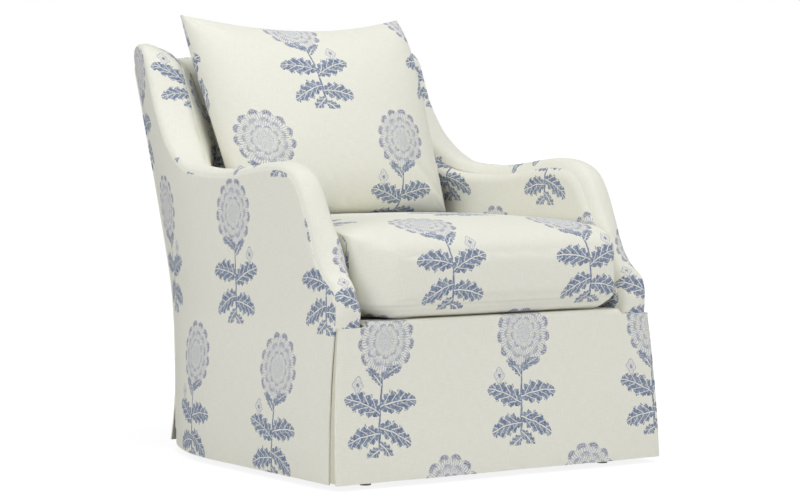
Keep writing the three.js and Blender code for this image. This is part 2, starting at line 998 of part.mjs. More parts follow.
const legX = railOuter - legTop / 2 - legInset;
const legPlaces = [
  ["front", railFront + legTop / 2 + legInset],
  ["rear", railRear - legTop / 2 - legInset],
];
for (const [end, y] of legPlaces) {
  addPair("leg_" + end, legGeometry().translate(legX, y, 0), paint.walnut);
  addPair("glide_" + end, glideGeometry().translate(legX, y, 0), paint.glide);
}

// Seat cushion: side outline as shares of its length and height, front rolled over.
const seatShares = [
  [1, 0.01],
  [1, 0.5],
  [1, 0.86],
  [0.99, 0.95],
  [0.965, 1],
  [0.75, 1],
  [0.5, 1],
  [0.3, 1],
  [0.16, 0.985],
  [0.105, 0.96],
  [0.062, 0.925],
  [0.03, 0.87],
  [0.012, 0.79],
  [0.003, 0.68],
  [0, 0.52],
  [0, 0.34],
  [0.001, 0.22],
  [0.004, 0.145],
  [0.014, 0.09],
  [0.032, 0.035],
  [0.058, 0],
  [0.4, 0],
  [0.75, 0],
  [0.985, 0],
];
const seatBottom = deckTop + touch;
const seatHalf = innerHalf - seatSideGap;
const seatLength = seatRear - seatFront;
const seatRise = seatTop - seatBottom;

function crownShare(across) {
  return 1 - Math.pow(Math.abs(across), 2.6);
}

// Height of the cushion's top over its side seam.
function seatTopAt(x, y) {
  const along = clamp01((y - seatFront) / seatLength);
  const hump = Math.sin(Math.PI * Math.pow(along, 0.8));
  return seatTop + seatCrown * crownShare(clamp01(Math.abs(x) / seatHalf)) * hump;
}

// How far the front is set back where the cushion's corners are rounded in plan.
function cornerRecess(across) {
  const past = Math.abs(across) * seatHalf - (seatHalf - seatCornerSide);
  const share = clamp01(past / seatCornerSide);
  return seatCornerBack * (1 - Math.sqrt(1 - share * share));
}

function seatRing(across, half, inset, shrink) {
  const length = seatLength - 2 * inset;
  const rise = seatRise - 2 * inset;
  return seatShares.map(([back, up]) => {
    const middle = (value) => 0.5 + (value - 0.5) * shrink;
    const recess = cornerRecess(across) * Math.pow(1 - back, 3);
    const y = seatFront + inset + middle(back) * length + recess * shrink;
    const base = seatBottom + inset + middle(up) * rise;
    const crown = up > 0.9 ? seatTopAt(across * seatHalf, y) - seatTop : 0;
    const under = seatUnder * Math.pow(clamp01(1 - up / seatUnderShare), 1.3);
    const draw = seatDraw * Math.sin(Math.PI * back) + under * Math.pow(Math.abs(across), 5);
    const x = Math.sign(across) * Math.abs(across) * (half - draw);
    return new THREE.Vector3(across === 0 ? 0 : x, y, base + crown * shrink);
  });
}

function seatForm(inset) {
  const half = seatHalf - inset;
  const rings = [seatRing(-1, half, inset, 0.6)];
  for (let k = 0; k <= seatSections; k++) {
    const across = Math.sin(((k / seatSections) * 2 - 1) * (Math.PI / 2));
    rings.push(seatRing(across, half, inset, 1));
  }
  rings.push(seatRing(1, half, inset, 0.6));
  return ringGeometry(rings);
}

const seatZipZ = seatBottom + seatRise / 2;
const seatSlot = blockGeometry(
  -seatZipLength / 2,
  seatZipLength / 2,
  seatRear - 2 * seatWall,
  seatRear + seatWall,
  seatZipZ - zipWidth / 2,
  seatZipZ + zipWidth / 2,
);
const seatCover = toSolid(seatForm(0))
  .subtract(toSolid(seatForm(seatWall)))
  .subtract(toSolid(seatSlot));
add("seat_cushion_cover", fromSolid(seatCover), paint.linen);
add("seat_cushion_core", seatForm(seatWall + touch), paint.foam);
add(
  "seat_cushion_zip",
  blockGeometry(
    -seatZipLength / 2 + touch,
    seatZipLength / 2 - touch,
    seatRear - seatWall + touch,
    seatRear - touch,
    seatZipZ - zipWidth / 2 + touch,
    seatZipZ + zipWidth / 2 - touch,
  ),
  paint.nylon,
);

// Back pillow: knife edged, with full corners, a dipped top and drawn-in sides.
const pillowFootZ = seatTop + seatCrown / 2;
const pillowRun = pillowTop - pillowFootZ;
const pillowTilt = Math.atan(pillowLeanShare);

function pillowPoint(across, up, side, inset) {
  const half = pillowWidth / 2 - inset;
  const waist = pillowWaist * (1 - Math.pow(2 * up - 1, 2));
  const x = across * (half - waist);
  const dip = pillowDip * (1 - Math.pow(Math.abs(across), 2)) * up * up;
  const reach = inset + up * (pillowRun - 2 * inset) - dip;
  const edge = pillowEdge - inset / 2;
  const plump = Math.pow((1 - across * across) * 4 * up * (1 - up), 0.42);
  const bulge = side * (edge + (pillowThick / 2 - inset - edge) * plump);
  const y = pillowFoot + pillowLeanShare * reach + bulge * Math.cos(pillowTilt);
  const z = pillowFootZ + reach - bulge * Math.sin(pillowTilt);
  return new THREE.Vector3(x, y, z);
}

// Pressed flat where it rests on the seat and against the inside back.
function pillowPressed(point, inset) {
  const wall = clothTouch + inset;
  const seat = seatTopAt(point.x, point.y) + wall;
  point.z = Math.max(point.z, seat);
  point.y = Math.min(point.y, insideBackY(Math.min(point.z, backTop)) - wall);
  return point;
}

function pillowForm(inset) {
  const at = (side) => (i, j) => {
    const across = Math.sin(((i / pillowColumns) * 2 - 1) * (Math.PI / 2));
    const up = (1 - Math.cos((Math.PI * j) / pillowRows)) / 2;
    return pillowPressed(pillowPoint(across, up, side, inset), inset);
  };
  return sheetGeometry(pillowColumns, pillowRows, at(-1), at(1));
}

const pillowZipY = pillowFoot + pillowZipSet;
const pillowZipZ = seatTopAt(0, pillowZipY) + clothTouch;
const pillowSlot = blockGeometry(
  -pillowZipLength / 2,
  pillowZipLength / 2,
  pillowZipY - zipWidth / 2,
  pillowZipY + zipWidth / 2,
  pillowZipZ - seatCrown,
  pillowZipZ + 2 * pillowWall,
);
const pillowCover = toSolid(pillowForm(0))
  .subtract(toSolid(pillowForm(pillowWall)))
  .subtract(toSolid(pillowSlot));
add("back_pillow_cover", fromSolid(pillowCover), paint.linen);
add("back_pillow_core", pillowForm(pillowWall + touch), paint.down);
add(
  "back_pillow_zip",
  blockGeometry(
    -pillowZipLength / 2 + touch,
    pillowZipLength / 2 - touch,
    pillowZipY - zipWidth / 2 + touch,
    pillowZipY + zipWidth / 2 - touch,
    pillowZipZ + touch,
    pillowZipZ + pillowWall - touch,
  ),
  paint.nylon,
);

// The origin stands on the floor, under the middle of the chair.
const bounds = new THREE.Box3().setFromObject(chair);
chair.position.y = -(bounds.min.y + bounds.max.y) / 2;

export default chair;
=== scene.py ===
"""Skirted lounge chair in block-printed linen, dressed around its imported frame.

Every size is in metres. Depths inside ChairForm are measured back from the front hem, and
ChairForm.front moves them into the frame's own axes.
"""

import json
import logging
import math
from dataclasses import dataclass, field
from enum import Enum
from typing import Callable, Sequence

import bmesh
import bpy
import numpy as np
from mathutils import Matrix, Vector


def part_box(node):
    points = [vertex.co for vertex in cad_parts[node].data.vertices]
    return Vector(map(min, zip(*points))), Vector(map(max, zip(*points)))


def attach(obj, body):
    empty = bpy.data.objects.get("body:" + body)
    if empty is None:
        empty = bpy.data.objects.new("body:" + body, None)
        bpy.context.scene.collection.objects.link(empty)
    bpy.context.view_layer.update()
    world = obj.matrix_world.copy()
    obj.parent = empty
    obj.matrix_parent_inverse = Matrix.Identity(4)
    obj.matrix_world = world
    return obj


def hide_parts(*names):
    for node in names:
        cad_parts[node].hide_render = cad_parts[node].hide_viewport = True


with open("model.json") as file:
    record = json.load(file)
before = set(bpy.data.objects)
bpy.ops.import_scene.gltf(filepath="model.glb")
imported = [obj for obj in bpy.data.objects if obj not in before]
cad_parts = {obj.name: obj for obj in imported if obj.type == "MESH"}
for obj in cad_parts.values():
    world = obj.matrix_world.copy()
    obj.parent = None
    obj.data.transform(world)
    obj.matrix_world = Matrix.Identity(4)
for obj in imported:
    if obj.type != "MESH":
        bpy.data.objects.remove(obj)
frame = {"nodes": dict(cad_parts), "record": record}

LOG = logging.getLogger("lounge_chair")
Array = np.ndarray
Edge = Callable[[Array], Array]
Place = Callable[[Array, Array], Array]
Tree = bpy.types.NodeTree
Node = bpy.types.Node
Socket = bpy.types.NodeSocket
Piece = bpy.types.Object
Colour = tuple[float, float, float]


class Side(Enum):
    """Which side of the chair a piece is on, as seen by someone facing its front."""

    RIGHT = 1
    LEFT = -1

    @property
    def word(self) -> str:
        """The ending of the side's node names."""
        return self.name.lower()


class Hold(Enum):
    """How a cloth is held in place."""

    STRETCHED = "stretched"
    HUNG = "hung"
    FOLDED = "folded"


class Body(Enum):
    """The bodies that move on their own."""

    FRAME = "chair_frame"
    SEAT = "seat_cushion"
    PILLOW = "back_pillow"


def srgb(red: int, green: int, blue: int) -> Colour:
    """A linear colour from display values of 0 to 255."""

    def linear(value: int) -> float:
        share = value / 255
        return share / 12.92 if share <= 0.04045 else ((share + 0.055) / 1.055) ** 2.4

    return linear(red), linear(green), linear(blue)


def smooth(value: Array) -> Array:
    """A soft step from 0 to 1."""
    share = np.clip(value, 0, 1)
    return share * share * (3 - 2 * share)


def rows_of(*columns: Array) -> Array:
    """Places with one row each, from their columns."""
    return np.stack(columns, axis=1)


def deselect() -> None:
    """Leaves nothing selected."""
    bpy.ops.object.select_all(action="DESELECT")


def only(piece: Piece) -> None:
    """Selects one piece and makes it the active one."""
    deselect()
    piece.select_set(True)
    bpy.context.view_layer.objects.active = piece


def edit(operator: Callable[..., set[str]], **values: float) -> None:
    """Runs an edit mode operator on all of the active piece."""
    bpy.ops.object.mode_set(mode="EDIT")
    bpy.ops.mesh.select_all(action="SELECT")
    operator(**values)
    bpy.ops.object.mode_set(mode="OBJECT")


def new_object(name: str, data: bpy.types.ID) -> Piece:
    """A new object in the scene."""
    made = bpy.data.objects.new(name, data)
    bpy.context.scene.collection.objects.link(made)
    return made


def clustered(share: Array) -> Array:
    """Spreads even shares so that they crowd towards both ends."""
    return 0.5 - 0.5 * np.cos(np.pi * share)


def spline(points: Array, count: int, closed: bool = False) -> Array:
    """A smooth line through points, resampled at even steps along its length.

    Args:
        points: the places that the line passes through, one in each row.
        count: how many places to give back.
        closed: whether the line runs back to its first point.

    Returns:
        The places, one in each row.
    """
    if closed:
        run = np.vstack([points[-1], points, points[0], points[1]])
    else:
        run = np.vstack([2 * points[0] - points[1], points, 2 * points[-1] - points[-2]])
    steps = np.linspace(0, 1, 24, endpoint=False)[:, None]
    pieces = []
    for a, b, c, d in zip(run, run[1:], run[2:], run[3:]):
        before, here, after = (math.sqrt(np.linalg.norm(q - p)) for p, q in ((a, b), (b, c), (c, d)))
        leave = (b - a) / before - (c - a) / (before + here) + (c - b) / here
        arrive = (c - b) / here - (d - b) / (here + after) + (d - c) / after
        leave, arrive = leave * here, arrive * here
        cubic = 2 * b - 2 * c + leave + arrive
        square = 3 * c - 3 * b - 2 * leave - arrive
        pieces.append(((cubic * steps + square) * steps + leave) * steps + b)
    return even_line(np.vstack([*pieces, points[0] if closed else points[-1]]), count, not closed)


def even_line(points: Array, count: int, to_end: bool = True) -> Array:
    """A line of straight runs, resampled at even steps along its length."""
    run = np.concatenate([[0], np.cumsum(np.linalg.norm(np.diff(points, axis=0), axis=1))])
    wanted = np.linspace(0, run[-1], count, endpoint=to_end)
    return np.stack([np.interp(wanted, run, column) for column in points.T], axis=1)


def line_at(share: Array, line: Array) -> Array:
    """Places at shares of a line whose points are evenly stepped."""
    knots = np.linspace(0, 1, len(line))
    return np.stack([np.interp(share, knots, column) for column in line.T], axis=1)


def noise_field(points: Array, wavelength: float, seed: int) -> Array:
    """Soft unevenness between about -1 and 1, the same on every run."""
    random = np.random.default_rng(seed)
    total = np.zeros(len(points))
    waves = 14
    for _ in range(waves):
        direction = random.normal(size=3)
        direction /= np.linalg.norm(direction)
        pitch = wavelength * random.uniform(0.7, 1.6)
        total += np.sin(points @ direction * (2 * math.pi / pitch) + random.uniform(0, 2 * math.pi))
    return total / math.sqrt(waves)


class Value:
    """One value of a node tree that changes over the surface. Arithmetic on it adds Math nodes."""

    def __init__(self, tree: Tree, socket: Socket) -> None:
        """Wraps an output socket of a tree."""
        self.tree = tree
        self.socket = socket

    def run(self, operation: str, *others: "Value | float", clamp: bool = False) -> "Value":
        """Adds a Math node.

        Args:
            operation: the Math node's operation.
            others: its second and third inputs.
            clamp: whether the result is kept between 0 and 1.

        Returns:
            The node's output.
        """
        node = self.tree.nodes.new("ShaderNodeMath")
        node.operation = operation
        node.use_clamp = clamp
        self.tree.links.new(self.socket, node.inputs[0])
        for place, other in zip(node.inputs[1:], others):
            if isinstance(other, Value):
                self.tree.links.new(other.socket, place)
            else:
                place.default_value = other
        return Value(self.tree, node.outputs[0])

    def __add__(self, other: "Value | float") -> "Value":
        """Sum."""
        return self.run("ADD", other)

    def __sub__(self, other: "Value | float") -> "Value":
        """Difference."""
        return self.run("SUBTRACT", other)

    def __mul__(self, other: "Value | float") -> "Value":
        """Product."""
        return self.run("MULTIPLY", other)

    def __truediv__(self, other: "Value | float") -> "Value":
        """Quotient."""
        return self.run("DIVIDE", other)

    def size(self) -> "Value":
        """The value without its sign."""
        return self.run("ABSOLUTE")

    def floor(self) -> "Value":
        """The whole number below."""
        return self.run("FLOOR")

    def fraction(self) -> "Value":
        """What is left over the whole number below."""
        return self.run("FRACT")

    def lower(self, other: "Value | float") -> "Value":
        """The smaller of two."""
        return self.run("MINIMUM", other)

    def upper(self, other: "Value | float") -> "Value":
        """The larger of two."""
        return self.run("MAXIMUM", other)

    def sine(self) -> "Value":
        """Sine."""
        return self.run("SINE")

    def cosine(self) -> "Value":
        """Cosine."""
        return self.run("COSINE")

    def power(self, other: float) -> "Value":
        """Power."""
        return self.run("POWER", other)

    def step(self, low: float, high: float) -> "Value":
        """A soft step that is 0 at low and 1 at high; low may be the larger."""
        node = self.tree.nodes.new("ShaderNodeMapRange")
        node.interpolation_type = "SMOOTHSTEP"
        self.tree.links.new(self.socket, node.inputs["Value"])
        node.inputs["From Min"].default_value = min(low, high)
        node.inputs["From Max"].default_value = max(low, high)
        node.inputs["To Min"].default_value = 0 if low < high else 1
        node.inputs["To Max"].default_value = 1 if low < high else 0
        return Value(self.tree, node.outputs["Result"])

    def inverse(self) -> "Value":
        """One minus the value."""
        return self.run("MULTIPLY_ADD", -1, 1)


def plane_vector(tree: Tree, across: Value, along: Value) -> Socket:
    """A vector of two values, for a texture's Vector input."""
    node = tree.nodes.new("ShaderNodeCombineXYZ")
    tree.links.new(across.socket, node.inputs["X"])
    tree.links.new(along.socket, node.inputs["Y"])
    return node.outputs[0]


def split_vector(tree: Tree, vector: Socket) -> tuple[Value, Value, Value]:
    """The three values of a vector."""
    split = tree.nodes.new("ShaderNodeSeparateXYZ")
    tree.links.new(vector, split.inputs[0])
    return tuple(Value(tree, socket) for socket in split.outputs)


def blend_colours(tree: Tree, share: Value, first: Colour | Socket, second: Colour | Socket) -> Socket:
    """A mix of two colours, each given as it is or as an output that holds it."""
    node = tree.nodes.new("ShaderNodeMix")
    node.data_type = "RGBA"
    tree.links.new(share.socket, node.inputs["Factor"])
    for place, colour in ((node.inputs[6], first), (node.inputs[7], second)):
        if isinstance(colour, tuple):
            place.default_value = (*colour, 1)
        else:
            tree.links.new(colour, place)
    return node.outputs[2]


def noise_value(tree: Tree, vector: Socket, scale: float, detail: float = 2) -> Value:
    """A Noise texture's value at a vector."""
    node = tree.nodes.new("ShaderNodeTexNoise")
    node.inputs["Scale"].default_value = scale
    node.inputs["Detail"].default_value = detail
    tree.links.new(vector, node.inputs["Vector"])
    return Value(tree, node.outputs["Fac"])


def group_tree(
    name: str, inputs: dict[str, str], outputs: dict[str, str]
) -> tuple[Tree, Node, Node]:
    """An empty shader node group with named sockets.

    Args:
        name: the group's name.
        inputs: socket names and their types.
        outputs: socket names and their types.

    Returns:
        The group, its input node and its output node.
    """
    tree = bpy.data.node_groups.new(name, "ShaderNodeTree")
    for title, kind in inputs.items():
        tree.interface.new_socket(title, in_out="INPUT", socket_type=kind)
    for title, kind in outputs.items():
        tree.interface.new_socket(title, in_out="OUTPUT", socket_type=kind)
    return tree, tree.nodes.new("NodeGroupInput"), tree.nodes.new("NodeGroupOutput")


@dataclass(frozen=True)
class BlockPrint:
    """A hand-blocked sprig: a ringed bloom on a curved stem with lobed leaves and one small bud.

    Sprigs stand in brick order, and each row faces the other way from the next. Each pair of leaves
    is given as the height of its foot, its length, half its width and how far it stands up in degrees.
    """

    pitch_across: float = 0.340
    pitch_along: float = 0.300
    lean: float = math.radians(8)
    bloom_up: float = 0.074
    bloom_radius: float = 0.066
    stem_foot: float = -0.140
    leaf_pairs: tuple[tuple[float, float, float, float], ...] = (
        (-0.006, 0.048, 0.014, 50),
        (-0.128, 0.047, 0.018, -32),
        (-0.099, 0.076, 0.031, -6),
        (-0.060, 0.084, 0.034, 28),
    )
    leaf_colour: Colour = srgb(110, 129, 162)
    leaf_shade: Colour = srgb(84, 102, 141)
    line_colour: Colour = srgb(146, 155, 186)
    tip_colour: Colour = srgb(78, 84, 136)
    petal_rings: tuple[tuple[int, float, float, float], ...] = (
        (13, 0.0, 1.0, 0.17), (11, 0.9, 0.72, 0.2), (9, 0.3, 0.47, 0.24)
    )
    bud_place: tuple[float, float] = (-0.056, -0.016)
    bud_radius: float = 0.0115
    hand_wobble: float = 0.0065
    leaf_step: float = 0.006
    leaf_lobes: float = 4.5
    leaf_nicks: float = 13

    def leaf(
        self, x: Value, y: Value, foot: float, length: float, width: float, angle: float
    ) -> tuple[Value, Value]:
        """A pair of lobed leaves, mirrored about the stem.

        Args:
            x: distance from the stem, without its sign.
            y: height on the sprig.
            foot: height at which the leaf leaves the stem.
            length: its length.
            width: half its greatest width.
            angle: how far it stands up from the level.

        Returns:
            The leaf's mask, and the mask of its clear veins.
        """
        turn, rise = math.cos(angle), math.sin(angle)
        up = y - foot
        along = (x * turn + up * rise) / length
        bend = along * along * (0.24 * length)
        off = up * turn - x * rise + bend
        across = off.size()
        share = along.run("MULTIPLY", 1.0, clamp=True)
        belly = share.power(0.5) * share.inverse().power(0.55) * 1.45
        lobe = ((share * self.leaf_lobes + across * (2.2 / length)) * math.pi).sine().size()
        nick = ((share * self.leaf_nicks + across * (7 / length)) * math.pi).sine().size()
        edge = belly * width * (lobe * 0.42 + nick * 0.14 + 0.52)
        inside = (edge - across).step(-0.0004, 0.0006)
        ribs = (share * self.leaf_lobes - across * (5.6 / length)).fraction() - 0.5
        side_veins = ribs.size().step(0.1, 0.05) * across.step(0.0014, 0.0026)
        eyes = ((share * (2 * self.leaf_lobes)).fraction() - 0.5).size().upper(
            ((across / width * 3.1).fraction() - 0.5).size()
        ).step(0.2, 0.12)
        midrib = across.step(0.0015, 0.0008)
        return inside, midrib.upper(side_veins * 0.9).upper(eyes * 0.4)

    def bloom(self, x: Value, y: Value) -> tuple[Value, Value]:
        """The flower head.

        Args:
            x: place across the sprig.
            y: place along the sprig.

        Returns:
            The mask of its fine lines, and the mask of its dark petal tips.
        """
        up = y - self.bloom_up
        radius = (x * x + up * up * 0.86).run("SQRT")
        angle = up.run("ARCTAN2", x)
        lines = None
        tips = None
        for petals, turn, reach, scallop in self.petal_rings:
            wave = ((angle * (petals / 2) + turn).cosine().size()).power(0.6)
            edge = (wave * scallop + (1 - scallop)) * (self.bloom_radius * reach)
            off = radius - edge
            outline = off.size().step(0.0017, 0.0007)
            tip = off.step(0.0006, 0.0) * off.step(-0.0102 * reach, -0.0062 * reach) * wave.step(0.55, 0.8)
            lines = outline if lines is None else lines.upper(outline)
            tips = tip if tips is None else tips.upper(tip * 0.75)
            fan = ((angle * (petals * 2.5 / math.pi)).fraction() - 0.5).size().step(0.3, 0.16)
            within = off.step(-0.001, -0.004) * off.step(-0.026 * reach, -0.021 * reach)
            lines = lines.upper(fan * within * 0.85)
        seeds = ((angle * (11 / math.pi)).fraction() - 0.5).size().lower(
            ((radius * 300).fraction() - 0.5).size()
        )
        disc = (radius / self.bloom_radius).step(0.31, 0.27)
        lines = lines.upper(seeds.step(0.1, 0.18) * disc)
        return lines, tips

    def group(self) -> Tree:
        """The node group that turns cloth coordinates into ink."""
        tree, given, out = group_tree(
            "block_print",
            {"Vector": "NodeSocketVector"},
            {"Colour": "NodeSocketColor", "Amount": "NodeSocketFloat"},
        )
        vector = given.outputs["Vector"]
        wobble = tree.nodes.new("ShaderNodeTexNoise")
        wobble.inputs["Scale"].default_value = 62
        wobble.inputs["Detail"].default_value = 2
        tree.links.new(vector, wobble.inputs["Vector"])
        shift = tree.nodes.new("ShaderNodeVectorMath")
        shift.operation = "MULTIPLY_ADD"
        tree.links.new(wobble.outputs["Color"], shift.inputs[0])
        shift.inputs[1].default_value = (self.hand_wobble, self.hand_wobble, 0)
        tree.links.new(vector, shift.inputs[2])
        across, along, _ = split_vector(tree, shift.outputs[0])
        row = (along / self.pitch_along).floor()
        odd = (row * 0.5).fraction() * 2
        facing = odd * -2 + 1
        cell = ((across / self.pitch_across + odd * 0.5).fraction() - 0.5) * self.pitch_across
        rise = ((along / self.pitch_along).fraction() - 0.5) * self.pitch_along
        flat_x = cell * facing
        turn, lift = math.cos(self.lean), math.sin(self.lean)
        x = flat_x * turn - rise * lift
        y = rise * turn + flat_x * lift
        lines, tips = self.bloom(x, y)
        span = self.bloom_up - self.stem_foot
        down = (y * -1 + self.bloom_up) / span
        curve = down * down * 0.016
        off = x - curve
        thick = down * 0.0016 + 0.0011
        in_run = down.step(0.26, 0.3) * down.step(1.0, 0.97)
        stem = (thick - off.size()).step(-0.0004, 0.0004) * in_run
        shifted = y - (off.run("SIGN") * self.leaf_step)
        beside = off.size()
        leaves = stem
        for foot, length, width, angle in self.leaf_pairs:
            blade, veins = self.leaf(beside, shifted, foot, length, width, math.radians(angle))
            leaves = (leaves * blade.inverse()).upper(blade * veins.inverse())
        bud_x, bud_y = off - self.bud_place[0], y - self.bud_place[1]
        bud = (bud_x * bud_x + bud_y * bud_y * 0.7).run("SQRT")
        turned = bud_y.run("ARCTAN2", bud_x)
        frill = ((turned * 4).cosine() * 0.0016 + self.bud_radius - bud).size().step(0.0014, 0.0005)
        spokes = ((turned * (7 / math.pi)).fraction() - 0.5).size().step(0.24, 0.1)
        lines = lines.upper(frill).upper(spokes * bud.step(0.0108, 0.0098) * bud.step(0.0042, 0.0052))
        tips = tips.upper(bud.step(0.0044, 0.0034))
        worn = noise_value(tree, vector, 420, 3)
        patchy = noise_value(tree, vector, 95, 3)
        leaf_ink = leaves * (worn * 0.7 + patchy * 0.5).step(0.3, 0.58)
        line_ink = lines * worn.step(0.3, 0.56) * 0.92
        tip_ink = tips * worn.step(0.34, 0.56)
        shade = patchy.step(0.35, 0.66)
        leaf_mix = blend_colours(tree, shade, self.leaf_colour, self.leaf_shade)
        tip_share = tip_ink / (tip_ink + line_ink + 0.001)
        bloom_mix = blend_colours(tree, tip_share, self.line_colour, self.tip_colour)
        leaf_share = leaf_ink.step(0.02, 0.2)
        amount = leaf_ink.upper(line_ink).upper(tip_ink)
        tree.links.new(blend_colours(tree, leaf_share, bloom_mix, leaf_mix), out.inputs["Colour"])
        tree.links.new(amount.socket, out.inputs["Amount"])
        return tree


@dataclass(frozen=True)
class LinenWeave:
    """Plain weave of slubby yarn, as thread height and as yarn tone."""

    yarn: float = 0.0007
    slub: float = 0.022

    def group(self) -> Tree:
        """The node group that turns cloth coordinates into yarn height and tone."""
        tree, given, out = group_tree(
            "linen_weave",
            {"Vector": "NodeSocketVector"},
            {"Height": "NodeSocketFloat", "Tone": "NodeSocketFloat"},
        )
        across, along, _ = split_vector(tree, given.outputs["Vector"])
        fine, long = 1 / self.yarn, 1 / self.slub
        weft = noise_value(tree, plane_vector(tree, across * long, along * fine), 1, 2)
        warp = noise_value(tree, plane_vector(tree, across * fine, along * long), 1, 2)
        thick = noise_value(tree, plane_vector(tree, across * (long / 2), along * (fine / 4)), 1, 1)
        height = weft * 0.45 + warp * 0.4 + thick * 0.35
        tone = (weft + warp) * 0.5
        tree.links.new(height.socket, out.inputs["Height"])
        tree.links.new(tone.socket, out.inputs["Tone"])
        return tree


@dataclass(frozen=True)
class WoodGrain:
    """Straight grain with soft pores."""

    ring: float = 0.011

    def group(self) -> Tree:
        """The node group that turns object coordinates into grain."""
        tree, given, out = group_tree(
            "wood_grain",
            {"Vector": "NodeSocketVector"},
            {"Grain": "NodeSocketFloat", "Height": "NodeSocketFloat"},
        )
        x, y, z = split_vector(tree, given.outputs["Vector"])
        long = noise_value(tree, plane_vector(tree, x * 7 + y * 60, z * 60), 1, 3)
        rings = ((y + z) * (1 / self.ring) + long * 2.4).fraction()
        grain = rings.step(0, 0.7) * 0.6 + long * 0.4
        pores = noise_value(tree, plane_vector(tree, x * 40 + y * 900, z * 900), 1, 2)
        tree.links.new(grain.socket, out.inputs["Grain"])
        tree.links.new((grain * 0.5 + pores * 0.5).socket, out.inputs["Height"])
        return tree


class Effects:
    """The node groups that several finishes share, each built once."""

    def __init__(self) -> None:
        """Builds the groups."""
        self.block_print = BlockPrint().group()
        self.linen_weave = LinenWeave().group()
        self.wood_grain = WoodGrain().group()


def new_material(name: str, roughness: float) -> tuple[bpy.types.Material, Node]:
    """A material with its shader.

    Args:
        name: the material's name.
        roughness: the shader's roughness.

    Returns:
        The material and its Principled BSDF.
    """
    material = bpy.data.materials.new(name)
    material.use_nodes = True
    shader = material.node_tree.nodes["Principled BSDF"]
    shader.inputs["Roughness"].default_value = roughness
    return material, shader


def place_group(tree: Tree, group: Tree, vector: Socket) -> Node:
    """Puts a group into a material and feeds its Vector."""
    node = tree.nodes.new("ShaderNodeGroup")
    node.node_tree = group
    tree.links.new(vector, node.inputs["Vector"])
    return node


def add_bump(tree: Tree, shader: Node, height: Socket, distance: float, strength: float) -> None:
    """Feeds a height into a shader's normal."""
    bump = tree.nodes.new("ShaderNodeBump")
    bump.inputs["Distance"].default_value = distance
    bump.inputs["Strength"].default_value = strength
    tree.links.new(height, bump.inputs["Height"])
    tree.links.new(bump.outputs["Normal"], shader.inputs["Normal"])


@dataclass(frozen=True)
class LinenFinish:
    """Ivory slub linen, plain or block printed, read from each piece's own cloth coordinates."""

    name: str
    printed: bool
    light: Colour = srgb(238, 237, 226)
    dark: Colour = srgb(229, 228, 216)
    roughness: float = 0.92
    sheen: float = 0.08

    def build(self, effects: Effects) -> bpy.types.Material:
        """Makes the material."""
        material, shader = new_material(self.name, self.roughness)
        tree = material.node_tree
        shader.inputs["Sheen Weight"].default_value = self.sheen
        shader.inputs["Sheen Roughness"].default_value = 0.6
        shader.inputs["Specular IOR Level"].default_value = 0.22
        cloth = tree.nodes.new("ShaderNodeUVMap")
        cloth.uv_map = CLOTH_MAP
        weave = place_group(tree, effects.linen_weave, cloth.outputs[0])
        tone = Value(tree, weave.outputs["Tone"]).step(0.36, 0.64)
        base = blend_colours(tree, tone, self.dark, self.light)
        if self.printed:
            ink = place_group(tree, effects.block_print, cloth.outputs[0])
            soaked = Value(tree, ink.outputs["Amount"]) * (tone * 0.22 + 0.78)
            base = blend_colours(tree, soaked, base, ink.outputs["Colour"])
        tree.links.new(base, shader.inputs["Base Color"])
        add_bump(tree, shader, weave.outputs["Height"], 0.0004, 0.5)
        return material


@dataclass(frozen=True)
class WoodFinish:
    """Sawn or polished timber."""

    name: str
    light: Colour
    dark: Colour
    roughness: float

    def build(self, effects: Effects) -> bpy.types.Material:
        """Makes the material."""
        material, shader = new_material(self.name, self.roughness)
        tree = material.node_tree
        place = tree.nodes.new("ShaderNodeTexCoord")
        grain = place_group(tree, effects.wood_grain, place.outputs["Object"])
        share = Value(tree, grain.outputs["Grain"])
        base = blend_colours(tree, share, self.light, self.dark)
        tree.links.new(base, shader.inputs["Base Color"])
        add_bump(tree, shader, grain.outputs["Height"], 0.0003, 0.4)
        return material


@dataclass(frozen=True)
class FillingFinish:
    """Foam, wadding, webbing or hidden cloth: two tones broken up at one scale, with a rough face."""

    name: str
    light: Colour
    dark: Colour
    scale: float
    roughness: float = 0.95
    relief: float = 0.0006

    def build(self, effects: Effects) -> bpy.types.Material:
        """Makes the material."""
        del effects
        material, shader = new_material(self.name, self.roughness)
        tree = material.node_tree
        place = tree.nodes.new("ShaderNodeTexCoord")
        cells = noise_value(tree, place.outputs["Object"], self.scale, 3)
        base = blend_colours(tree, cells.step(0.35, 0.65), self.dark, self.light)
        tree.links.new(base, shader.inputs["Base Color"])
        add_bump(tree, shader, cells.socket, self.relief, 0.7)
        return material


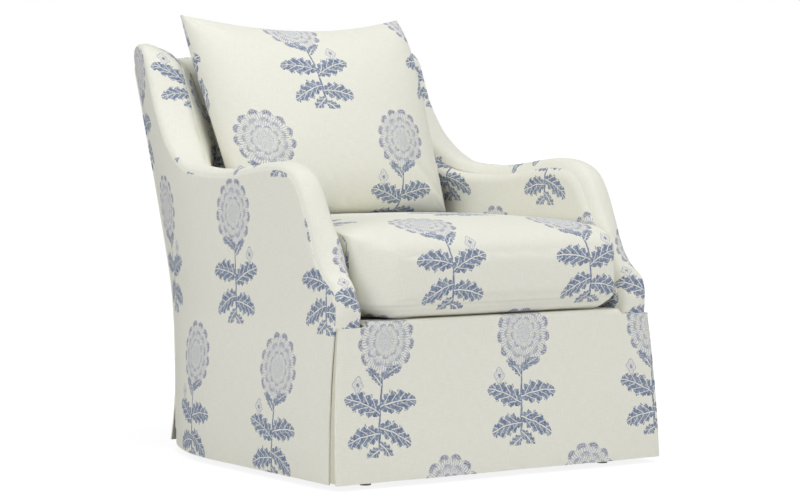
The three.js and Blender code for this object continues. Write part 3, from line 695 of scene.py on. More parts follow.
CLOTH_MAP = "cloth"
FINISHES = {
    "printed_linen": LinenFinish("printed_linen", True),
    # The pleat cloth is the linen's plain ground, drawn darker and more olive than it: painted shade of the
    # recessed corner slits.
    "pleat_linen": LinenFinish("pleat_linen", False, srgb(222, 220, 203), srgb(206, 204, 186)),
    "deck_cotton": LinenFinish("deck_cotton", False, srgb(226, 223, 204), srgb(212, 209, 189)),
    "birch_ply": WoodFinish("birch_ply", srgb(222, 198, 152), srgb(203, 176, 128), 0.6),
    "foam": FillingFinish("foam", srgb(242, 234, 205), srgb(232, 222, 188), 900, relief=0.001),
    "down_fill": FillingFinish("down_fill", srgb(246, 246, 243), srgb(234, 234, 230), 160, relief=0.002),
    "frame_pine": WoodFinish("frame_pine", srgb(208, 172, 120), srgb(184, 144, 94), 0.65),
    "jute_webbing": FillingFinish("jute_webbing", srgb(150, 126, 88), srgb(118, 96, 62), 700),
    "black_cambric": LinenFinish("black_cambric", False, srgb(54, 54, 56), srgb(36, 36, 38)),
    "leg_walnut": WoodFinish("leg_walnut", srgb(138, 104, 76), srgb(104, 76, 53), 0.42),
    "glide_plastic": FillingFinish(
        "glide_plastic", srgb(226, 226, 222), srgb(216, 216, 212), 500, 0.5, 0.0001
    ),
    "zip_nylon": FillingFinish("zip_nylon", srgb(218, 214, 202), srgb(204, 200, 188), 1100, 0.6, 0.0002),
}


class Wardrobe:
    """Gives pieces their finishes, each finish built once."""

    def __init__(self) -> None:
        """Builds every finish."""
        effects = Effects()
        self.materials = {slot: finish.build(effects) for slot, finish in FINISHES.items()}

    def dress(self, piece: Piece, slot: str) -> None:
        """Gives a piece the finish of a material slot."""
        piece.data.materials.clear()
        piece.data.materials.append(self.materials[slot])

    def fit(self, piece: Piece, slot: str, node: str, body: Body = Body.FRAME) -> None:
        """Dresses a piece, lets it ride on its body and puts it in the place of its node."""
        self.dress(piece, slot)
        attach(piece, body.value)
        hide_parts(node)

    def dress_node(self, node: str, slot: str) -> None:
        """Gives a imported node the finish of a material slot."""
        for place in frame["nodes"][node].material_slots:
            place.material = self.materials[slot]


CREST_SHARES = (
    (0, 0, 0), (-0.002, 0.09, 0), (-0.001, 0.18, 0), (0.006, 0.228, 0), (0.02, 0.262, 0),
    (0.042, 0.305, 0), (0.066, 0.382, 0), (0.084, 0.472, 0), (0.098, 0.58, 0), (0.115, 0.714, 0),
    (0.133, 0.826, 0), (0.155, 0.916, 0), (0.182, 0.968, 0), (0.214, 0.993, 0), (0.258, 1, 0),
    (0.305, 0.99, 0), (0.366, 0.967, 0), (0.43, 0.946, 0), (0.496, 0.94, 0), (0.56, 0.948, 0),
    (0.624, 0.975, 0), (0.676, 1, 0.051), (0.713, 1, 0.141), (0.749, 1, 0.258), (0.777, 1, 0.395),
    (0.801, 1, 0.539), (0.822, 1, 0.711), (0.842, 1, 0.871), (0.866, 1, 0.96), (0.902, 1, 0.996),
    (0.94, 1, 0.992), (0.976, 1, 0.94),
)


@dataclass
class ChairForm:
    """The curved surfaces that the chair's cloths share."""

    front: float
    half_body: float = 0.382
    hem_flare: float = 0.018
    half_rear: float = 0.306
    body_rear: float = 0.790
    taper_run: float = 0.325
    arm_height: float = 0.615
    back_height: float = 0.871
    hem_gap: float = 0.012
    lean_slope: float = 0.375
    lean_knee: float = 0.335
    lean_blend: float = 0.100
    back_stand: float = 0.012
    back_seam: float = 0.826
    rear_slit: float = 0.012
    rear_flare: float = 0.026
    rear_slit_top: float = 0.200
    skirt_top: float = 0.310
    skirt_set: float = 0.020
    side_edge: float = 0.025
    arm_thick: float = 0.070
    wing_thick: float = 0.096
    arm_front: float = 0.031
    arm_foot: float = 0.311
    arm_crown: float = 0.012
    wing_forward: float = 0.026
    wing_low: float = 0.535
    wing_blend: float = 0.125
    wing_reach: float = 0.115
    knee_depth: float = 0.25
    knee_swell: tuple[float, float, float] = (0.022, 0.455, 0.050)
    knee_draw: tuple[float, float, float] = (0.020, 0.372, 0.024)
    foot_draw: tuple[float, float, float] = (0.008, 0.352, 0.030)
    wing_crown: float = 0.0055
    crown_low: float = 0.64
    crown_run: float = 0.12
    fill_low: float = 0.51
    fill_rise: float = 0.18
    fill_start: float = 0.022
    sink_depth: float = 0.014
    sink_low: float = 0.74
    sink_rise: float = 0.09
    sink_edge: tuple[float, float] = (0.016, 0.06)
    sink_less: tuple[tuple[float, float, float], ...] = ((0.5, 0.095, 0.035), (0.3, 0.14, 0.1))
    sink_rear: float = 0.06
    inside_foot: float = 0.697
    inside_slope: float = 0.285
    back_top: float = 0.846
    top_radius: float = 0.026
    deck_top: float = 0.321
    rail_top: float = 0.300
    cloth: float = 0.003
    roll_radius: float = 0.030
    roll_foot: float = 0.017
    roll_rise: float = 0.12
    outer_radius: float = 0.008
    crest: Array = field(init=False)
    crest_out: Array = field(init=False)
    wing_front: Array = field(init=False)

    def __post_init__(self) -> None:
        """Works out the seam line over the arm."""
        self.taper_start = self.body_rear - self.taper_run
        self.inner_half = self.half_body - self.arm_thick
        end = float(self.rear_edge(self.back_seam))
        places = [
            (
                self.arm_front + back * (end - self.arm_front),
                self.arm_foot
                + arm * (self.arm_height - self.arm_foot)
                + wing * (self.back_height - self.arm_height),
            )
            for back, arm, wing in CREST_SHARES
        ]
        self.crest = spline(np.array([*places, (end, self.back_seam)]), 400)
        along = np.gradient(self.crest, axis=0)
        along /= np.linalg.norm(along, axis=1)[:, None]
        self.crest_out = rows_of(-along[:, 1], along[:, 0])
        inner = self.seam_line(inner=True)
        top = int(inner[:, 1].argmax())
        low = top - int(inner[top:0:-1, 1][:200].argmin())
        self.wing_front = inner[low : top + 1]

    def lean(self, z: Array) -> Array:
        """How far the raked back has moved rearwards at a height."""
        rise = z - self.lean_knee
        return self.lean_slope * (np.hypot(rise, self.lean_blend) + rise) / 2

    def rear_edge(self, z: Array) -> Array:
        """Depth of the body's rear edge at a height."""
        return self.body_rear + self.lean(z)

    def side_half(self, z: Array) -> Array:
        """Half width of the flat side at a height."""
        share = np.clip((z - self.hem_gap) / (self.skirt_top - self.hem_gap), 0, 1)
        return self.half_body + self.hem_flare * (1 - share * share)

    def outer_x(self, y: Array, z: Array) -> Array:
        """Outer face of the side."""
        share = np.clip((y - self.taper_start - self.lean(z)) / self.taper_run, 0, 1)
        half = self.side_half(z)
        return half - (half - self.half_rear) * share * share

    def inner_x(self, y: Array, z: Array) -> Array:
        """Inner face of the arm, thickening inwards where it becomes the wing."""
        along = smooth((y - self.taper_start - self.lean(z)) / self.wing_reach)
        up = smooth((z - self.wing_low) / self.wing_blend)
        wing = self.outer_x(y, z) - self.wing_thick
        return self.inner_half + (wing - self.inner_half) * along * up

    def filled_x(self, y: Array, z: Array) -> Array:
        """Inner face of the arm and wing, which slopes inwards from the wing's front to the back."""
        line = self.wing_front
        behind = np.maximum(y - np.interp(z, line[:, 1], line[:, 0]) - 0.004, 0)
        below = 3 * np.maximum(np.interp(y, line[:, 0], line[:, 1]) - z, 0)
        reach = behind * below / (behind + below + 1e-6)
        rise = smooth((z - self.fill_low) / self.fill_rise)
        return self.inner_x(y, z) - rise * reach * reach / (reach + self.fill_start)

    def sink(self, x: Array, y: Array, z: Array) -> Array:
        """How far the wing's top falls inwards, from its outer edge to the back."""
        inward = self.outer_x(y, z) - np.abs(x)
        near = smooth((inward - self.sink_edge[0]) / self.sink_edge[1])
        less = 1 - sum(share * smooth((inward - start) / run) for share, start, run in self.sink_less)
        high = smooth((z - self.sink_low) / self.sink_rise)
        ahead = smooth((self.rear_edge(z) + self.back_stand - y) / self.sink_rear)
        return self.sink_depth * near * less * high * ahead

    def crown_rise(self, z: Array) -> Array:
        """How far the band is crowned at a height, less on the wing."""
        share = smooth((z - self.crown_low) / self.crown_run)
        return self.arm_crown + (self.wing_crown - self.arm_crown) * share

    def sunk(self, points: Array) -> Array:
        """Lowers the parts of a cloth that lie on the wing's top."""
        lowered = points.copy()
        lowered[:, 2] -= self.sink(points[:, 0], points[:, 1] - self.front, points[:, 2])
        return lowered

    def inside_back_y(self, z: Array) -> Array:
        """Depth of the inside back at a height."""
        return self.inside_foot + self.inside_slope * (z - self.deck_top)

    def stand(self, x: Array) -> Array:
        """How far the outside back stands out behind its corners."""
        share = np.clip(np.abs(x) / self.half_rear, 0, 1)
        return self.back_stand * (1 - share**6)

    def outside_back_y(self, x: Array, z: Array) -> Array:
        """Depth of the outside back."""
        share = np.clip((self.rear_slit_top - z) / (self.rear_slit_top - self.hem_gap), 0, 1)
        return self.rear_edge(z) + self.stand(x) + self.rear_flare * share * share

    def skirt_y(self, z: Array) -> Array:
        """Depth of the front skirt's face."""
        return self.skirt_set * (z - self.hem_gap) / (self.skirt_top - self.hem_gap)

    def side_rear_y(self, z: Array) -> Array:
        """Depth of the side panel's rear edge, drawn forward below the rear slit."""
        opened = np.clip((self.rear_slit_top - z) / (self.rear_slit_top - self.hem_gap), 0, 1)
        return self.rear_edge(z) - self.cloth - self.rear_slit * opened

    def crest_at(self, share: Array, drop: float) -> Array:
        """Places on the arm's seam line, moved in by a drop."""
        return line_at(share, self.crest) - drop * self.crest_out_at(share)

    def crest_out_at(self, share: Array) -> Array:
        """Outward direction of the arm's seam line."""
        return line_at(share, self.crest_out)

    def ease(self, z: Array) -> Array:
        """How far the inner seam runs ahead of the outer one at the arm's front, by height."""
        bumps = (self.knee_swell, self.knee_draw)
        swell, draw = (size * np.exp(-(((z - at) / reach) ** 2)) for size, at, reach in bumps)
        foot = self.foot_draw
        return swell - draw - foot[0] * smooth((foot[1] - z) / foot[2])

    def forward(self, line: Array) -> Array:
        """How far the inner seam runs ahead of the outer one: on the wing, and past the knee."""
        rise = smooth((line[:, 1] - self.arm_height + self.arm_crown) / self.wing_blend)
        past = smooth((self.back_height - line[:, 1]) / self.wing_forward)
        wing = self.wing_forward * rise * past * (line[:, 0] >= self.taper_start)
        return wing + self.ease(line[:, 1]) * (line[:, 0] < self.knee_depth)

    def meeting_share(self) -> float:
        """Share of the seam line at which the inner seam meets the inside back."""
        line = self.seam_line(inner=True)
        reached = line[:, 0] > self.inside_back_y(line[:, 1]) - 0.0005
        return float(np.argmax((line[:, 1] > self.arm_height) & reached)) / (len(line) - 1)

    def band_edge(self, share: Array) -> Array:
        """Places on the band's inner edge once its corner is rolled, as x, depth and height."""
        inner = self.crest_at(share, 0)
        inner[:, 0] -= self.forward(inner)
        start = (1 - math.sqrt(0.5)) * self.corner_radius(inner[:, 1])
        x = self.inner_x(inner[:, 0], inner[:, 1]) + start
        at = inner - self.crest_out_at(share) * start[:, None]
        rearward = smooth((at[:, 0] - self.inside_back_y(at[:, 1])) / self.back_stand)
        return rows_of(x, at[:, 0] + rearward * self.stand(x), at[:, 1])

    def seam_line(self, inner: bool) -> Array:
        """The arm's inner or outer seam in the side view."""
        line = self.crest.copy()
        if inner:
            line[:, 0] -= self.forward(self.crest)
        return line

    def corner_radius(self, z: Array) -> Array:
        """Radius of the arm's rolled inner corner at a height, smallest at its foot."""
        share = smooth((z - self.arm_foot) / self.roll_rise)
        return self.roll_foot + (self.roll_radius - self.roll_foot) * share

    def placed(self, x: Array, y: Array, z: Array) -> Array:
        """Puts depths from the front hem into the frame."""
        return rows_of(x, y + self.front, z)


def patch(bottom: Edge, top: Edge, front: Edge, rear: Edge, s: Array, t: Array) -> Array:
    """A four sided patch of the side view.

    Args:
        bottom: its lower edge by share along.
        top: its upper edge by share along.
        front: its front edge by share up.
        rear: its rear edge by share up.
        s: shares along, one for each place.
        t: shares up, one for each place.

    Returns:
        Depth and height of each place.
    """
    zero, one = np.zeros(1), np.ones(1)
    s2, t2 = s[:, None], t[:, None]
    faces = bottom(s) * (1 - t2) + top(s) * t2 + front(t) * (1 - s2) + rear(t) * s2
    corners = (
        bottom(zero) * (1 - s2) * (1 - t2)
        + bottom(one) * s2 * (1 - t2)
        + top(zero) * (1 - s2) * t2
        + top(one) * s2 * t2
    )
    return faces - corners


@dataclass
class Cloth:
    """One cut piece of cloth: a grid laid over a surface, then given its thickness."""

    name: str
    columns: int
    rows: int
    place: Place
    cut: Place
    thickness: float = 0.003
    outward: tuple[float, float, float] = (0, -1, 0)
    crowded: tuple[bool, bool] = (True, True)

    def build(self) -> Piece:
        """Makes the piece, with its face on the given surface and its thickness behind it."""
        deselect()
        bpy.ops.mesh.primitive_grid_add(x_subdivisions=self.columns, y_subdivisions=self.rows, size=1)
        piece = bpy.context.object
        piece.name = piece.data.name = self.name
        mesh = piece.data
        s, t = np.clip(places_of(mesh)[:, :2] + 0.5, 0, 1).T
        s = clustered(s) if self.crowded[0] else s
        t = clustered(t) if self.crowded[1] else t
        put_places(mesh, self.place(s, t))
        set_cloth_map(mesh, self.cut(s, t))
        facing = sum((p.normal * p.area for p in mesh.polygons), Vector())
        if facing.dot(Vector(self.outward)) < 0:
            mesh.flip_normals()
        only(piece)
        wall = piece.modifiers.new("wall", "SOLIDIFY")
        wall.thickness = self.thickness
        wall.offset = -1
        bpy.ops.object.modifier_apply(modifier=wall.name)
        bpy.ops.object.shade_smooth_by_angle(angle=math.radians(50))
        LOG.info("%s: %d faces", self.name, len(mesh.polygons))
        return piece


def places_of(mesh: bpy.types.Mesh) -> Array:
    """The place of every vertex, one in each row."""
    flat = np.zeros(len(mesh.vertices) * 3)
    mesh.vertices.foreach_get("co", flat)
    return flat.reshape(-1, 3)


def put_places(mesh: bpy.types.Mesh, points: Array) -> None:
    """Moves every vertex to its new place."""
    mesh.vertices.foreach_set("co", points.ravel())
    mesh.update()


def set_cloth_map(mesh: bpy.types.Mesh, cuts: Array) -> None:
    """Stores each vertex's place on the flat cloth as the mesh's cloth map."""
    for layer in list(mesh.uv_layers):
        mesh.uv_layers.remove(layer)
    layer = mesh.uv_layers.new(name=CLOTH_MAP)
    corners = np.zeros(len(mesh.loops), dtype=np.int64)
    mesh.loops.foreach_get("vertex_index", corners)
    layer.data.foreach_set("uv", cuts[corners].astype(np.float32).ravel())


def flat_area(piece: Piece) -> float:
    """Area of one face of a closed sheet."""
    return sum(p.area for p in piece.data.polygons) / 2


def declare_sheet(
    piece: Piece, flat: tuple[float, float], rests_on: Sequence[str]
) -> None:
    """Works out a cloth's area, no more than its cut size, and does nothing further with it."""
    area = min(flat_area(piece), flat[0] * flat[1])


def rounded(distance: Array, radius: Array) -> tuple[Array, Array]:
    """Rounds a square corner between two faces that meet at a seam.

    Args:
        distance: how far each place is from the seam along its own face.
        radius: the corner's radius there.

    Returns:
        How far the place moves along its face, and how far it sinks below it.
    """
    start = (1 - math.sqrt(0.5)) * radius
    fade = np.clip(1 - distance / (1.5 * radius), 0, 1) ** 2
    moved = distance + start * fade
    left = np.clip(radius - moved, 0, None)
    return start * fade, radius - np.sqrt(radius * radius - left * left)


def nearest(points: Array, line: Array) -> tuple[Array, Array]:
    """Distance from each place to a smooth line of places, and the direction away from it.

    Args:
        points: the places, all on the line's right hand side.
        line: the line, closely stepped.

    Returns:
        The distances, and a direction for each place.
    """
    run = np.gradient(line, axis=0)
    run /= np.linalg.norm(run, axis=1)[:, None]
    inward = rows_of(run[:, 1], -run[:, 0])
    gap = np.empty(len(points))
    away = np.empty_like(points)
    batch = 2000
    for begin in range(0, len(points), batch):
        part = slice(begin, begin + batch)
        steps = points[part, None, :] - line[None]
        pick = np.hypot(steps[..., 0], steps[..., 1]).argmin(axis=1)
        step = steps[np.arange(len(pick)), pick]
        along = np.einsum("ij,ij->i", step, run[pick])
        along = np.where(pick == 0, np.maximum(along, 0), along)
        along = np.where(pick == len(line) - 1, np.minimum(along, 0), along)
        step = step - along[:, None] * run[pick]
        length = np.hypot(step[:, 0], step[:, 1])
        close = (length < 0.0006)[:, None]
        gap[part] = length
        away[part] = np.where(close, inward[pick], step / np.maximum(length, 1e-6)[:, None])
    return gap, away


def roll_in(distance: Array, depth: float, reach: float) -> Array:
    """How far cloth turns in towards a seam, by its distance from it."""
    return depth * np.exp(-((distance / reach) ** 1.3))


@dataclass
class ArmUpholstery:
    """The three cloths of one arm: outside panel, inside panel and the band between them."""

    side: Side
    form: ChairForm
    columns: int = 150
    rows: int = 64
    seam_depth: float = 0.0014
    seam_reach: float = 0.005
    seam_lap: float = -0.0001
    knee_share: float = 0.055
    print_shift: tuple[float, float] = (0.06, 0.0)
    inside_shift: tuple[float, float] = (0.01, 0.11)
    inside_rise: float = 0.07
    band_shift: tuple[float, float] = (0.118, 0.04)
    band_length: float = 1.5
    belly: float = 0.0022
    unevenness: float = 0.0009

    def wear(self, wardrobe: Wardrobe) -> None:
        """Builds and dresses the arm's cloths."""
        for piece, node, flat in (
            (self.outside(), "outside_arm", (1.0, 0.88)),
            (self.inside(), "inside_arm", (0.86, 0.60)),
            (self.band(), "arm_band", (0.11, 1.5)),
        ):
            wardrobe.fit(piece, "printed_linen", f"{node}_{self.side.word}")
            declare_sheet(piece, flat, [f"arm_padding_{self.side.word}"])

    def edge_front(self, bottom: Array, seam: Edge) -> Edge:
        """Front edge of a panel: up to the foot of the seam line, then along it to its knee."""
        foot, knee = seam(np.array([0, self.knee_share]))
        below = np.linalg.norm(foot - bottom)
        bend = below / (below + np.linalg.norm(knee - foot))

        def at(t: Array) -> Array:
            low = np.clip(t / bend, 0, 1)[:, None]
            high = np.clip((t - bend) / (1 - bend), 0, 1)
            return np.where(low < 1, bottom + (foot - bottom) * low, seam(high * self.knee_share))

        return at

    def arc_along(self, y: Array, z: Array) -> Array:
        """Length of cloth from the front hem to a depth, round the drawn-in side."""
        form = self.form
        run = np.clip(y - form.taper_start - form.lean(z), 0, None)
        slope = 2 * (form.half_body - form.half_rear) / form.taper_run**2
        return y + slope * slope * run**3 / 6

    def outside(self) -> Piece:
        """Outside panel, from the seam over the arm down to the hem."""
        form = self.form
        drop = self.seam_lap
        top_z = form.back_seam - drop
        first = self.knee_share

        def top(s: Array) -> Array:
            line = form.crest_at(first + s * (1 - first), drop)
            end = np.array([float(form.side_rear_y(top_z)), top_z])
            return np.where(s[:, None] > 0.9999, end, line)

        def rear(t: Array) -> Array:
            z = form.hem_gap + t * (top_z - form.hem_gap)
            return rows_of(form.side_rear_y(z), z)

        low = np.array([form.side_edge, form.hem_gap])
        low_rear = rear(np.zeros(1))[0]
        front = self.edge_front(low, lambda share: form.crest_at(share, drop))
        bottom = lambda u: low + (low_rear - low) * u[:, None]

        def place(s: Array, t: Array) -> Array:
            at = patch(bottom, top, front, rear, s, t)
            gap, away = nearest(at, form.seam_line(inner=False))
            along, sunk = rounded(gap, form.outer_radius)
            x = form.outer_x(at[:, 0], at[:, 1]) - sunk
            at = at + away * along[:, None]
            y, z = at[:, 0], at[:, 1]
            x = x - roll_in(gap, self.seam_depth, self.seam_reach)
            x = x - roll_in((1 - s) * 0.9, self.seam_depth, self.seam_reach)
            belly = self.belly * np.sin(np.pi * t) * np.sin(np.pi * np.clip(s, 0, 1))
            points = form.placed(self.side.value * (x + belly), y, z)
            uneven = self.unevenness * noise_field(points, 0.34, 11) * np.sin(np.pi * t)
            points[:, 0] += self.side.value * uneven
            return points

        def cut(s: Array, t: Array) -> Array:
            at = patch(bottom, top, front, rear, s, t)
            u = self.side.value * self.arc_along(at[:, 0], at[:, 1]) + self.print_shift[0]
            return rows_of(u, at[:, 1] + self.print_shift[1])

        return Cloth(
            f"outside_panel_{self.side.word}", self.columns, self.rows, place, cut,
            form.cloth, (self.side.value, 0, 0),
        ).build()

    def inside(self) -> Piece:
        """Inside panel, from the band's inner seam down to the deck."""
        form = self.form
        drop = self.seam_lap
        floor = form.rail_top + 0.0003
        first = self.knee_share
        last = form.meeting_share() - 0.002

        def seam(share: Array) -> Array:
            places = form.crest_at(share, drop)
            places[:, 0] -= form.forward(form.crest_at(share, 0))
            return places

        def top(s: Array) -> Array:
            return seam(first + s * (last - first))

        low = np.array([seam(np.zeros(1))[0, 0], floor])
        low_rear = np.array([float(form.inside_back_y(floor)) - 0.0005, floor])
        end = top(np.ones(1))[0]
        front = self.edge_front(low, seam)
        rear = lambda t: low_rear + (end - low_rear) * t[:, None]
        bottom = lambda u: low + (low_rear - low) * u[:, None]

        def place(s: Array, t: Array) -> Array:
            at = patch(bottom, top, front, rear, s, t)
            gap, away = nearest(at, form.seam_line(inner=True))
            along, sunk = rounded(gap, form.corner_radius(at[:, 1]))
            at = at + away * along[:, None]
            x = form.filled_x(at[:, 0], at[:, 1]) + sunk
            limit = form.inside_back_y(at[:, 1]) - 0.0004
            return form.sunk(form.placed(self.side.value * x, np.minimum(at[:, 0], limit), at[:, 1]))

        def cut(s: Array, t: Array) -> Array:
            at = patch(bottom, top, front, rear, s, t)
            shift = self.inside_shift[self.side is Side.RIGHT]
            return rows_of(-self.side.value * at[:, 0] + shift, at[:, 1] + self.inside_rise)

        return Cloth(
            f"inside_panel_{self.side.word}", self.columns, self.rows, place, cut,
            form.cloth, (-self.side.value, 0, 0),
        ).build()

    def band(self) -> Piece:
        """Crowned band over the arm, from its front foot to the rear seam."""
        form = self.form

        def edges(s: Array) -> tuple[Array, Array, Array]:
            outer = form.crest_at(s, 0)
            inner = outer.copy()
            inner[:, 0] -= form.forward(outer)
            return outer, inner, form.crest_out_at(s)

        def place(s: Array, t: Array) -> Array:
            outer, inner, out = edges(t)
            outer_x = form.outer_x(outer[:, 0], outer[:, 1])
            inner_x = form.inner_x(inner[:, 0], inner[:, 1])
            width = outer_x - inner_x
            radius = form.corner_radius(inner[:, 1])
            in_along, in_sunk = rounded(s * width, radius)
            out_along, out_sunk = rounded((1 - s) * width, form.outer_radius)
            x = inner_x + width * s + in_along - out_along
            at = inner + (outer - inner) * s[:, None]
            rise = 1 - np.abs(2 * s - 1) ** 2.3
            seam = roll_in((1 - s) * width, self.seam_depth, self.seam_reach)
            at = at + out * (form.crown_rise(at[:, 1]) * rise - in_sunk - out_sunk - seam)[:, None]
            rearward = smooth((at[:, 0] - form.inside_back_y(at[:, 1])) / form.back_stand)
            y = at[:, 0] + rearward * form.stand(x)
            return form.sunk(form.placed(self.side.value * x, y, at[:, 1]))

        def cut(s: Array, t: Array) -> Array:
            outer, inner, _ = edges(t)
            width = form.outer_x(outer[:, 0], outer[:, 1]) - form.inner_x(inner[:, 0], inner[:, 1])
            u = self.side.value * (s - 0.5) * width
            return rows_of(u, t * self.band_length) + np.array(self.band_shift)

        return Cloth(
            f"arm_band_cloth_{self.side.word}", 36, 300, place, cut,
            form.cloth, (0, 0, 1), (True, False),
        ).build()


@dataclass
class BackUpholstery:
    """The inside back with its rolled top, and the outside back down to the hem."""

    form: ChairForm
    columns: int = 90
    seam_depth: float = 0.0024
    seam_reach: float = 0.006
    top_crown: float = 0.006
    inside_cut: tuple[float, float] = (0.6, 0.78)
    inside_shift: tuple[float, float] = (0.345, 0.05)
    outside_cut: float = 0.85
    unevenness: float = 0.0008

    def wear(self, wardrobe: Wardrobe) -> None:
        """Builds and dresses the back's cloths."""
        for piece, node, flat, rests in (
            (self.inside(), "inside_back", (0.63, 0.76), "back_pad"),
            (self.outside(), "outside_back", (0.62, 0.86), "crest_rail"),
        ):
            wardrobe.fit(piece, "printed_linen", node)
            declare_sheet(piece, flat, [rests])

    def raked(self) -> Array:
        """Middle line of the raked face, from the seat frame to the foot of the rolled top."""
        form = self.form
        z = np.linspace(form.rail_top + 0.0003, form.back_top - form.top_radius, 60)
        return rows_of(form.inside_back_y(z), z)

    def rolled_middle(self, count: int) -> Array:
        """Middle line of the rolled top, evenly stepped from the raked face to the rear seam."""
        form = self.form
        foot = self.raked()[-1]
        end = float(form.rear_edge(form.back_seam)) + form.back_stand
        drop = form.back_top - form.back_seam
        angle = np.linspace(0, math.pi / 2, 12)
        front = foot + form.top_radius * rows_of(1 - np.cos(angle), np.sin(angle))
        turned = rows_of(1 - np.sin(angle), 1 - np.cos(angle))
        return even_line(np.vstack([front, np.array([end, form.back_top]) - drop * turned]), count)

    def rolled_edge(self, count: int) -> Array:
        """Side edge of the rolled top, which follows the band's inner edge over the wing."""
        form = self.form
        foot = self.raked()[-1]
        start = np.array([float(form.filled_x(foot[0], foot[1])), *foot])
        rest = form.band_edge(np.linspace(form.meeting_share() + 0.004, 1, 60))
        return even_line(np.vstack([start, rest]), count)

    def inside(self) -> Piece:
        """Inside back, up the raked face, over the top and down to the rear seam."""
        form = self.form
        raked = self.raked()
        middle = self.rolled_middle(60)
        edge = self.rolled_edge(60)
        low = np.linalg.norm(raked[-1] - raked[0])
        over = np.linalg.norm(np.diff(middle, axis=0), axis=1).sum()
        bend = low / (low + over)

        def place(s: Array, t: Array) -> Array:
            share = 2 * s - 1
            up = np.clip(t / bend, 0, 1)
            flat_y, flat_z = line_at(up, raked).T
            round_share = np.clip((t - bend) / (1 - bend), 0, 1)
            mid_y, mid_z = line_at(round_share, middle).T
            side = line_at(round_share, edge)
            on_top = t > bend
            half = np.where(on_top, side[:, 0], form.filled_x(flat_y, flat_z)) - 0.0005
            x = share * half
            over_share = smooth((mid_y - form.inside_back_y(mid_z)) / form.top_radius)
            pulled = mid_y + over_share * (form.stand(x) - form.back_stand)
            weight = np.abs(share) ** 5
            swell = self.top_crown * (1 - share**2) * np.sin(np.pi * round_share) ** 0.7
            y = np.where(on_top, pulled + (side[:, 1] - pulled) * weight, flat_y)
            z = np.where(on_top, mid_z + swell + (side[:, 2] - mid_z - swell) * weight, flat_z)
            return form.sunk(form.placed(x, y, z))

        def cut(s: Array, t: Array) -> Array:
            return rows_of(s - 0.5, t) * np.array(self.inside_cut) + np.array(self.inside_shift)

        return Cloth(
            "inside_back_panel", self.columns, 120, place, cut, form.cloth, (0, -1, 0.4), (True, False),
        ).build()

    def outside(self) -> Piece:
        """Outside back, from the rear seam down to the hem, standing out below."""
        form = self.form

        def place(s: Array, t: Array) -> Array:
            z = form.hem_gap + t * (form.back_seam - 0.0008 - form.hem_gap)
            share = 2 * s - 1
            x = share * (form.half_rear - 0.0004)
            y = form.outside_back_y(x, z)
            reach = self.seam_reach
            to_top = (1 - t) * (form.back_seam - form.hem_gap)
            closed = smooth((z - form.rear_slit_top) / 0.05)
            side_in = roll_in((1 - np.abs(share)) * form.half_rear, self.seam_depth, reach) * closed
            y = y - roll_in(to_top, self.seam_depth, reach) - side_in
            wave = 0.0016 * np.sin(x * 21) * (1 - smooth(z / 0.25))
            points = form.placed(x, y + wave, z)
            points[:, 1] += self.unevenness * noise_field(points, 0.3, 5) * np.sin(np.pi * t)
            return points

        def cut(s: Array, t: Array) -> Array:
            return rows_of(-(s - 0.5) * 2 * form.half_rear, t * self.outside_cut)

        return Cloth(
            "outside_back_panel", self.columns, 100, place, cut, form.cloth, (0, 1, 0),
        ).build()


